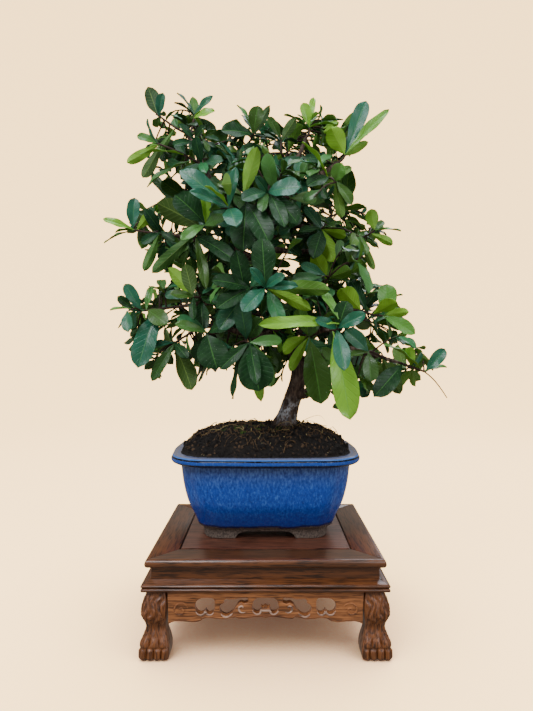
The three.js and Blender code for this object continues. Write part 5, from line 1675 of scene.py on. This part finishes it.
@dataclass
class BladeReader:
    """Finds the blades of a faceted shoot from its thin margins."""

    thin: float = -0.6
    straight: float = 0.06
    pointed: float = 0.7
    farthest: float = 2.0

    def read(self, node: Piece) -> list[Blade]:
        """Finds every blade of a node.

        Args:
            node: The shoot.

        Returns:
            Its blades, in the frame's millimetres.
        """
        work = bmesh.new()
        work.from_mesh(node.data)
        bmesh.ops.remove_doubles(work, verts=work.verts, dist=0.002 * MM)
        margins = [e for e in work.edges if len(e.link_faces) == 2 and e.is_convex
                   and e.link_faces[0].normal.dot(e.link_faces[1].normal) < self.thin]
        blades = [self._blade(self._corners([v.co / MM for v in chain]))
                  for chain in self._chains(margins)]
        work.free()
        return [blade for blade in blades if blade]

    @staticmethod
    def _chains(edges: list) -> list[list]:
        """Orders edges into open chains.

        Args:
            edges: The edges.

        Returns:
            The corners of each chain.
        """
        links: dict = {}
        for edge in edges:
            for vertex in edge.verts:
                links.setdefault(vertex, []).append(edge)
        left = set(edges)
        chains = []
        starts = [v for v, some in links.items() if len(some) != 2] + list(links)
        for start in starts:
            while any(e in left for e in links[start]):
                chain, here = [start], start
                while True:
                    onward = [e for e in links[here] if e in left]
                    if not onward or (len(links[here]) != 2 and here is not start):
                        break
                    left.discard(onward[0])
                    here = onward[0].other_vert(here)
                    chain.append(here)
                chains.append(chain)
        return chains

    def _corners(self, line: list[Vector]) -> list[Vector]:
        """Drops the points of a line where it hardly turns."""
        kept = [line[0]]
        for i in range(1, len(line) - 1):
            before, after = line[i] - kept[-1], line[i + 1] - line[i]
            if before.length < 1e-3 or after.length < 1e-3:
                continue
            if before.angle(after) > self.straight:
                kept.append(line[i])
        return [*kept, line[-1]]

    def _blade(self, line: list[Vector]) -> Blade | None:
        """Fits a blade to its margin.

        Args:
            line: The margin's corners.

        Returns:
            The blade, or None where the line has no tip or fits no kind.
        """
        if len(line) < 5:
            return None
        turns = [(line[i] - line[i - 1]).angle(line[i + 1] - line[i])
                 for i in range(2, len(line) - 2)]
        place = max(range(len(turns)), key=turns.__getitem__) + 2
        if turns[place - 2] < self.pointed:
            return None
        best, least = None, self.farthest
        for kind in BLADE_KINDS:
            for sign in (1, -1):
                ends = [[line[place + side * sign * k] for k in (1, 2)] for side in (-1, 1)]
                fitted = self._fit(line[place], *ends, kind)
                if fitted and fitted[1] < least:
                    best, least = fitted
        return best

    def _fit(self, tip: Vector, lefts: list[Vector], rights: list[Vector],
             kind: tuple[tuple[float, float], ...]) -> tuple[Blade, float] | None:
        """Fits one kind of blade to its tip and its last two stations.

        Args:
            tip: The tip.
            lefts: The left corners, from the last station back.
            rights: The right corners likewise.
            kind: The shares at which the stations lie, the last one last.

        Returns:
            The blade and how far it misses the second station, in millimetres.
        """
        (s2, w2), (s, w) = kind
        across = rights[0] - lefts[0]
        half = across.length / 2 / cos(Blade.fold)
        side = across.normalized()
        middle = (lefts[0] + rights[0]) / 2 - tip
        middle -= side * middle.dot(side)
        rise, arch = half * sin(Blade.fold), 4 * Blade.bow * s * (1 - s)
        a, b = (1 - s) ** 2 + arch**2, 2 * arch * rise
        c = rise**2 - middle.length_squared
        if b * b - 4 * a * c < 0 or middle.length < 0.3:
            return None
        length = (-b + sqrt(b * b - 4 * a * c)) / (2 * a)
        back, lift = length * (1 - s), arch * length + rise
        first, second = middle.normalized(), side.cross(middle.normalized())
        turn = atan2(-lift, -back)
        along = first * cos(turn) + second * sin(turn)
        blade = Blade(tip - along * length, along, side, side.cross(along), length, half / w)
        miss = min((blade.point(s2, -blade.half * w2) - lefts[1]).length,
                   (blade.point(s2, blade.half * w2) - rights[1]).length)
        return blade, miss


SMALL_ACROSS = (-1, -0.5, 0, 0.5, 1)
FULL_ACROSS = (-1, -0.62, -0.2, 0, 0.2, 0.62, 1)
SHADE_DULLED_BELOW = 0.2


@dataclass
class LeafBatch:
    """Leaf blades gathered into one mesh between two corners, with their map and tones."""

    low: Vector
    high: Vector
    points: list[Vector] = field(default_factory=list)
    faces: list[tuple[int, ...]] = field(default_factory=list)
    maps: list[tuple[float, float]] = field(default_factory=list)
    tones: list[Point] = field(default_factory=list)
    sides: list[LeafSide | None] = field(default_factory=list)

    def add_blade(self, blade: Blade, tone: Tone, luck: Random, rows: int = 15,
                  across: tuple[float, ...] = FULL_ACROSS) -> None:
        """Adds a leaf: stalk, rounded blade, sunken rib and slightly waved margins.

        Args:
            blade: The leaf's frame.
            tone: How light and yellow it is.
            luck: The source of its small irregularities.
            rows: Stretches along the blade.
            across: Where its points lie across, from -1 to 1.
        """
        colour = (tone.light, tone.yellow, luck.random())
        phase, bend = luck.uniform(0, tau), luck.uniform(-0.5, 0.5)
        first = len(self.points)
        shares = [(k / rows) ** 0.92 for k in range(rows + 1)]
        for top in (True, False):
            for share in shares:
                half = self.half_width(blade, share)
                for place in across:
                    self.points.append(self._surface(blade, share, place, half, top, phase, bend))
                    self.maps.append(((place + 1) / 2, share))
                    self.tones.append(colour)
        self._bend_inwards(first)
        # Dark leaves, matt or darkened as painted shade, take the upper skin's copy with its sheen
        # turned down.
        upper = LeafSide.OLD if tone.light < SHADE_DULLED_BELOW else LeafSide.UPPER
        count = len(across)
        other = count * (rows + 1)
        for r in range(rows):
            for i in range(count - 1):
                a = first + r * count + i
                quad = (a, a + 1, a + 1 + count, a + count)
                self.faces += [quad, tuple(c + other for c in quad[::-1])]
                self.sides += [upper, LeafSide.UNDER]
        rim = [first + r * count for r in range(rows + 1)]
        rim += [first + rows * count + i for i in range(1, count)]
        rim += [first + r * count + count - 1 for r in range(rows - 1, -1, -1)]
        rim += [first + i for i in range(count - 2, 0, -1)]
        for a, b in zip(rim, rim[1:] + rim[:1]):
            self.faces.append((a, b, b + other, a + other))
            self.sides.append(upper)

    def _bend_inwards(self, first: int) -> None:
        """Bends the last leaf from its root so that it stays between the two corners.

        Args:
            first: The number of its first point.
        """
        leaf = range(first, len(self.points))
        for k in range(3):
            over = max(max(self.points[i][k] for i in leaf) - self.high[k], 0)
            over -= max(self.low[k] - min(self.points[i][k] for i in leaf), 0)
            if over:
                for i in leaf:
                    self.points[i][k] -= over * min(1, self.maps[i][1] / 0.45)

    @staticmethod
    def half_width(blade: Blade, share: float) -> float:
        """Half the leaf's width at a share of its length: a stalk, then a rounded spoon."""
        knots = [(0, 0.55), (0.07, 0.6), (0.15, blade.half * 0.24 + 0.3),
                 (0.3, blade.half * 0.62), (0.45, blade.half * 0.89), (0.61, blade.half),
                 (0.76, blade.half * 0.95), (0.87, blade.half * 0.78), (0.95, blade.half * 0.5),
                 (1, 0.12)]
        return min(smooth_between(knots, share)[0], blade.half)

    @staticmethod
    def _surface(blade: Blade, share: float, place: float, half: float, top: bool,
                 phase: float, bend: float) -> Vector:
        """A point of one face of a leaf.

        Args:
            blade: The leaf's frame.
            share: The share of its length.
            place: Where the point lies across, from -1 to 1.
            half: Half the leaf's width there.
            top: Whether it lies on the upper face.
            phase: Where the margin's wave starts.
            bend: How far the blade twists, and which way.

        Returns:
            The point.
        """
        full = ease(share, 0.08, 0.3)
        sunken = -0.32 * exp(-(place / 0.16) ** 2) * full
        cup = half * sin(blade.fold) * (abs(place) ** 1.5 - abs(place))
        wave = 0.022 * blade.length * sin(share * 13 + phase + place) * place**2 * full
        curl = bend * 0.05 * blade.length * (share - 0.5) * place * full
        thick = (0.5 - 0.26 * full) * (1 - 0.65 * place**2) + 0.06
        lift = (thick if top else -thick) + sunken + cup + wave + curl
        return blade.point(share, half * place, lift)

    def add_twig(self, skin: Skin) -> None:
        """Adds a tube as the last material's faces."""
        start = len(self.points)
        self.points += skin[0]
        self.faces += [tuple(start + c for c in face) for face in skin[1]]
        self.maps += [(0.5, 0.5)] * len(skin[0])
        self.tones += [(0.3, 0.0, 0.5)] * len(skin[0])
        self.sides += [None] * len(skin[1])

    def build(self, name: str, centre: Vector, skins: Sequence[Material]) -> Piece:
        """Makes the mesh.

        Args:
            name: The piece's name.
            centre: What the points are measured from.
            skins: The materials of the leaf's sides in order, and that of the twig.

        Returns:
            The piece.
        """
        piece = mesh_object(name, [p + centre for p in self.points], self.faces)
        data = piece.data
        for skin in skins:
            data.materials.append(skin)
        places = {side: i for i, side in enumerate((*LeafSide, None))}
        for face, side in zip(data.polygons, self.sides):
            face.material_index = places[side]
        layer = data.uv_layers.new(name="blade")
        tone = data.color_attributes.new(TONE, "FLOAT_COLOR", "POINT")
        for i, colour in enumerate(self.tones):
            tone.data[i].color = (*colour, 1)
        for loop in data.loops:
            layer.data[loop.index].uv = self.maps[loop.vertex_index]
        return piece


@dataclass(frozen=True)
class Ghost:
    """A placed leaf, kept to test new ones against: its middle, its reach and its surface."""

    middle: Vector
    reach: float
    surface: BVHTree


@dataclass
class Crowd:
    """All leaves and wood already in the crown."""

    low: Vector
    high: Vector
    cell: float = 24.0
    clearance: float = 0.9
    grid: dict[tuple[int, ...], list[Ghost]] = field(default_factory=dict)
    wood: BVHTree | None = None
    large: list[tuple[Vector, Vector, float, float]] = field(default_factory=list)

    def add_wood(self, tubes: Iterable[Skin]) -> None:
        """Keeps the skins of all limbs and twigs."""
        points, faces = joined(tubes)
        self.wood = BVHTree.FromPolygons(points, faces)

    def add(self, blade: Blade, large: bool = False) -> None:
        """Keeps a leaf.

        Args:
            blade: The leaf.
            large: Whether no small leaf may hide it in the view.
        """
        ghost = self.ghost(blade)
        self.grid.setdefault(self._cell(ghost.middle), []).append(ghost)
        if large:
            start, end = VIEW.seen(blade.root), VIEW.seen(blade.tip)
            self.large.append((start, end - start, blade.half / VIEW.unit, ghost.middle.y))

    def _cell(self, point: Vector) -> tuple[int, ...]:
        """The grid cell of a point."""
        return tuple(floor(c / self.cell) for c in point)

    @staticmethod
    def ghost(blade: Blade) -> Ghost:
        """A leaf's coarse surface."""
        rows = [(0.12, 0.1), (0.4, 0.8), (0.62, 1), (0.87, 0.76), (1, 0.05)]
        points = [blade.point(s, blade.half * w * a) for s, w in rows for a in (-1, 0, 1)]
        faces = [(r * 3 + i, r * 3 + i + 1, r * 3 + i + 4, r * 3 + i + 3)
                 for r in range(4) for i in (0, 1)]
        return Ghost(blade.point(0.5, 0), blade.length / 2 + blade.half * 0.3,
                     BVHTree.FromPolygons(points, faces))

    def near(self, middle: Vector, reach: float) -> Iterable[Ghost]:
        """The leaves that reach into a ball.

        Args:
            middle: The ball's middle.
            reach: Its radius.

        Yields:
            Each such leaf.
        """
        cell = self._cell(middle)
        span = range(-2, 3)
        for dx in span:
            for dy in span:
                for dz in span:
                    for ghost in self.grid.get((cell[0] + dx, cell[1] + dy, cell[2] + dz), ()):
                        if (ghost.middle - middle).length < ghost.reach + reach:
                            yield ghost

    def twig_fits(self, points: list[Vector]) -> bool:
        """Whether a thin twig passes through no leaf."""
        strip = [p + Vector((0, 0, d)) for p in points for d in (-0.8, 0.8)]
        faces = [(2 * i, 2 * i + 1, 2 * i + 3, 2 * i + 2) for i in range(len(points) - 1)]
        surface = BVHTree.FromPolygons(strip, faces)
        middle = (points[0] + points[-1]) / 2
        reach = (points[-1] - points[0]).length / 2 + 2
        return not any(surface.overlap(g.surface) for g in self.near(middle, reach))

    def leaf_fits(self, blade: Blade) -> bool:
        """Tests a place for a new leaf.

        Args:
            blade: The leaf.

        Returns:
            Whether it stays in the crown, touches nothing and hides no large leaf.
        """
        spots = [blade.point(s, blade.half * a) for s in (0.4, 0.7, 1) for a in (-0.9, 0, 0.9)]
        inside = all(self.low[k] < p[k] < self.high[k] for p in spots for k in range(3))
        if not inside or not all(in_crown(VIEW.seen(p)) for p in spots):
            return False
        if any(self.wood.find_nearest(p, self.clearance)[0] for p in spots):
            return False
        own = self.ghost(blade)
        for other in self.near(own.middle, own.reach):
            if own.surface.overlap(other.surface):
                return False
            if any(other.surface.find_nearest(p, self.clearance)[0] for p in spots):
                return False
        return not self._hides_large(blade)

    def _hides_large(self, blade: Blade) -> bool:
        """Tests whether a leaf stands before the middle of a large one.

        Args:
            blade: The leaf.

        Returns:
            Whether it does.
        """
        depth = blade.point(0.5, 0).y
        views = [VIEW.seen(blade.point(share, 0)) for share in (0.5, 1)]
        for start, way, half, back in self.large:
            if depth > back:
                continue
            for view in views:
                part = min(1.0, max(0.0, (view - start).dot(way) / way.length_squared))
                if (view - start - way * part).length < half * 0.95:
                    return True
        return False


def in_crown(view: Vector) -> bool:
    """Whether a place of the view lies in the crown's outline."""
    inside = False
    for (x, y), (x2, y2) in zip(CROWN_OUTLINE, CROWN_OUTLINE[1:] + CROWN_OUTLINE[:1]):
        if (y > view.y) != (y2 > view.y) and view.x < x + (view.y - y) / (y2 - y) * (x2 - x):
            inside = not inside
    return inside


@dataclass
class Foliage:
    """The leafy shoots: those of the solids, made fine, and the small ones between them."""

    centre: Vector
    seed: int = 12
    spurs: int = 500
    tries: int = 11000
    twig_radii: tuple[float, float] = (1.15, 0.8)
    spur_radii: tuple[float, float] = (0.75, 0.5)
    crown_middle: tuple[float, float] = (14.0, 290.0)
    crown_depth: float = 84.0
    crown_height: float = 178.0
    edge_steps: tuple[tuple[int, int], ...] = ((15, 0), (-15, 0), (0, 18), (0, -9))
    whole: tuple[int, ...] = (100, 86, 448, 400)
    dense: tuple[tuple[int, ...], ...] = (
        (268, 106, 340, 170), (284, 108, 352, 216), (312, 214, 372, 300))
    dense_share: float = 0.4
    trunk_window: tuple = ((302, 362), (-18, 66), 13, 100)
    spur_reach: tuple[float, float] = (6, 40)
    fewest_leaves: int = 3
    box_inset: float = 1.5
    large_half: float = 4.2
    stations: int = 24
    first_station: int = 6
    levels: tuple[float, float] = (275, 350)
    placed: list[Blade] = field(default_factory=list)
    corners: tuple[Vector, Vector] = (Vector(), Vector())
    skins: list[Material] = field(default_factory=list)

    def build(self) -> None:
        """Makes all foliage."""
        luck = Random(self.seed)
        self.corners = tuple(Vector(corner) / MM - self.centre for corner in BOX)
        self.skins = [*(LeafSkin(f"firethorn_leaf_{side.value}", side).build() for side in LeafSide),
                      Plain("young_twig_bark", "#24160f", "#4a3222", 0.75, 2.0).build()]
        for name in TWIGS:
            self._shoot(name, luck)
        self._spurs(luck)
        self._bare_twig()

    def _bare_twig(self) -> None:
        """Makes the thin leafless end of a twig that hangs down on the right."""
        path = curve_points([VIEW.at(*p) for p in BARE_TWIG], 18)
        piece = mesh_object("bare_twig", *tube([p + self.centre for p in path],
                                               lambda share, _: 0.62 - 0.24 * share, 8))
        tidy_mesh(piece)
        hand_over(piece, self.skins[-1:], sharp=60)

    def _shoot(self, name: str, luck: Random) -> None:
        """Makes one shoot of the solids again with fine leaves.

        Args:
            name: The shoot's name.
            luck: The source of small irregularities.
        """
        node = f"shoot_{name}"
        batch = LeafBatch(*self.corners)
        batch.add_twig(self._twig(curve_points(twig_points(name), 22), *self.twig_radii))
        blades = BladeReader().read(frame["nodes"][node])
        for blade in blades:
            blade.root = blade.root - self.centre
            batch.add_blade(blade, self._tone(blade, luck), luck)
        self.placed += blades
        piece = batch.build(f"{node}_fine", self.centre, self.skins)
        hand_over(piece, nodes=[node], sharp=50)
        LOG.info("%s: %d leaves", node, len(blades))

    @staticmethod
    def _twig(path: list[Vector], thick: float, thin: float) -> Skin:
        """A twig with a swelling at each bud."""
        return tube(path, lambda share, _: (thick + (thin - thick) * share) * (
            1 + 0.12 * max(0.0, sin(share * 30)) ** 4), 8)

    @staticmethod
    def _tone(blade: Blade, luck: Random) -> Tone:
        """Chooses a leaf's tone.

        Args:
            blade: The leaf.
            luck: The source of the choice.

        Returns:
            The tone seen on it, or else one that is usual at its place.
        """
        known = Foliage._known_tone(blade)
        if known:
            return known
        spot = VIEW.seen(blade.tip)
        kind, olive = luck.random(), 0.48 if spot.x > 325 or spot.y > 330 else 0.26
        # sun darkens leaves towards the crown's middle as painted shade.
        sun = Foliage._sunlit(blade)
        if kind < olive:
            return Tone(luck.uniform(0.15, 0.62) * sun, luck.uniform(0.45, 0.8))
        if kind < olive + 0.12:
            return Tone(luck.uniform(0.5, 0.75) * sun, luck.uniform(0.2, 0.5))
        return Tone(luck.choice((0.0, 0.12, 0.28, 0.45, 0.65)) * sun, 0.05)

    @staticmethod
    def _known_tone(blade: Blade) -> Tone | None:
        """The tone seen on a leaf whose tip has a known place."""
        spot = VIEW.seen(blade.tip)
        for tone in LeafTone:
            value, tips = tone.value
            if any((spot - Vector(tip)).length < 4 for tip in tips):
                return value
        return None

    @staticmethod
    def _sunlit(blade: Blade) -> float:
        """How much of its lightness a leaf keeps: leaves towards the crown's middle are darkened as
        painted shade.
        """
        middle = blade.point(0.5, 0)
        out = hypot((middle.x - 5) / 125, (middle.y - 14) / 84, (middle.z - 290) / 170)
        return 0.45 + 0.55 * ease(out, 0.45, 0.95)

    def _crowd(self, lines: list[tuple[list[Vector], float, float]]) -> Crowd:
        """Gathers what the small leaves must keep clear of.

        Args:
            lines: The points and the two radii of each limb and twig.

        Returns:
            The wood, the shoots' leaves and the gap through which the trunk is seen.
        """
        inset = Vector((1, 1, 1)) * self.box_inset
        crowd = Crowd(self.corners[0] + inset, self.corners[1] - inset)
        for blade in self.placed:
            crowd.add(blade, blade.half > self.large_half or self._known_tone(blade) is not None)
        start, way, half, back = self.trunk_window
        crowd.large.append((Vector(start), Vector(way), half, back))
        crowd.add_wood(tube(curve_points(points, 12), lambda share, _, a=a, b=b: a + (b - a) * share,
                            6) for points, a, b in lines)
        return crowd

    def _spur(self, starts: list[Vector], luck: Random) -> list[Vector]:
        """Draws a spur from the nearest wood to a place in the crown.

        Args:
            starts: Where spurs can leave the wood.
            luck: The source of its place and bend.

        Returns:
            Its middle line, empty if the place is too near the wood or too far.
        """
        end = self._open_place(luck)
        start = min(starts, key=lambda p: (p - end).length_squared)
        reach = (end - start).length
        if not self.spur_reach[0] < reach < self.spur_reach[1]:
            return []
        bend = (start + end) / 2 + Vector((luck.gauss(0, 1), luck.gauss(0, 1), reach * 0.08))
        return curve_points([start, bend, end], 6)

    def _spurs(self, luck: Random) -> None:
        """Grows short spurs with rosettes of small leaves wherever the crown is open.

        Args:
            luck: The source of their places and shapes.
        """
        lines = [(limb.points, limb.thick, limb.thin) for limb in LIMBS.values()]
        lines += [(twig_points(name), *self.twig_radii) for name in TWIGS]
        crowd = self._crowd(lines)
        starts = [curve_at(points, k / self.stations) for points, *_ in lines
                  for k in range(self.first_station, self.stations + 1)]
        batches = [LeafBatch(*self.corners) for _ in range(len(self.levels) + 1)]
        grown = 0
        for _ in range(self.tries):
            path = self._spur(starts, luck)
            if not path or not crowd.twig_fits(path[1:]):
                continue
            kept = []
            for blade in self._rosette(path, luck):
                if crowd.leaf_fits(blade) and all(not Crowd.ghost(blade).surface.overlap(
                        Crowd.ghost(b).surface) for b in kept):
                    kept.append(blade)
            if len(kept) < self.fewest_leaves:
                continue
            batch = batches[sum(path[-1].z >= level for level in self.levels)]
            batch.add_twig(self._twig(path, *self.spur_radii))
            for blade in kept:
                batch.add_blade(blade, self._tone(blade, luck), luck, 9, SMALL_ACROSS)
                crowd.add(blade)
            grown += 1
            if grown == self.spurs:
                break
        for name, batch in zip(("low", "middle", "high"), batches):
            hand_over(batch.build(f"spurs_{name}", self.centre, self.skins), sharp=50)
        LOG.info("small spurs: %d", grown)

    def _open_place(self, luck: Random) -> Vector:
        """Finds a place in the crown.

        Args:
            luck: The source of the place.

        Returns:
            The place, inside the crown's outline and its rounded depth.
        """
        while True:
            left, top, right, bottom = (
                luck.choice(self.dense) if luck.random() < self.dense_share else self.whole)
            x, y = luck.uniform(left, right), luck.uniform(top, bottom)
            if not all(in_crown(Vector((x + dx, y + dy))) for dx, dy in self.edge_steps):
                continue
            z = VIEW.at(x, y, 0).z
            round_off = 1 - ((z - self.crown_middle[1]) / self.crown_height) ** 2
            depth = self.crown_depth * sqrt(max(0.05, round_off))
            return VIEW.at(x, y, self.crown_middle[0] + luck.uniform(-depth, depth))

    @staticmethod
    def _rosette(path: list[Vector], luck: Random) -> list[Blade]:
        """Sets small leaves round a spur's end.

        Args:
            path: The spur's middle line.
            luck: The source of their turns and sizes.

        Returns:
            The leaves.
        """
        leaves = []
        way = (path[-1] - path[-3]).normalized()
        side = way.orthogonal().normalized()
        phase = luck.uniform(0, tau)
        size = luck.uniform(14, 30)
        for i in range(luck.randint(5, 7)):
            turn = Matrix.Rotation(phase + i * 2.4, 3, way)
            spread = luck.uniform(0.6, 1.45)
            along = (way * cos(spread) + (turn @ side) * sin(spread)
                     - Vector((0, 0, 0.12))).normalized()
            length = size * luck.uniform(0.75, 1.15)
            across = along.cross(way + Vector((0, -0.4, 0.6))).normalized()
            root = curve_at(path, max(0.3, 1 - 0.09 * i)) - along * 0.3
            leaves.append(Blade(root, along, across, across.cross(along), length,
                                length * luck.uniform(0.19, 0.25)))
        return leaves


CROWN_OUTLINE = (
    (146, 86), (170, 90), (205, 94), (217, 110), (227, 122), (240, 104), (262, 103),
    (272, 116), (292, 117), (300, 98), (318, 98), (328, 113), (342, 114), (368, 99),
    (391, 110), (372, 145), (352, 165), (348, 200), (374, 206), (402, 230), (396, 246),
    (368, 264), (374, 283), (400, 284), (412, 310), (416, 336), (447, 349), (440, 374),
    (405, 394), (372, 400), (352, 420), (320, 404), (275, 402), (246, 400), (225, 374),
    (194, 392), (176, 378), (152, 384), (130, 368), (120, 332), (108, 312), (122, 284),
    (148, 284), (160, 270), (148, 256), (128, 246), (102, 240), (102, 218), (128, 198),
    (150, 200), (160, 190), (140, 182), (124, 162), (138, 140))
BARE_TWIG = ((414, 368, -24), (423, 371, -27), (433, 379, -32), (441, 389, -36), (447, 398, -38))
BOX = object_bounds()


def main() -> None:
    """Builds the object in order and keeps its size before and after."""
    logging.basicConfig(level=logging.INFO, format="%(name)s %(message)s")
    low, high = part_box("glazed_pot")
    centre = Vector(((low[0] + high[0]) / 2, (low[1] + high[1]) / 2, 0)) / MM
    Studio(centre).build()
    Stand(centre).build()
    pot = Pot(centre)
    pot.build()
    Soil(centre, pot).build()
    Wood(centre).build()
    Foliage(centre).build()


if __name__ == "__main__":
    main()
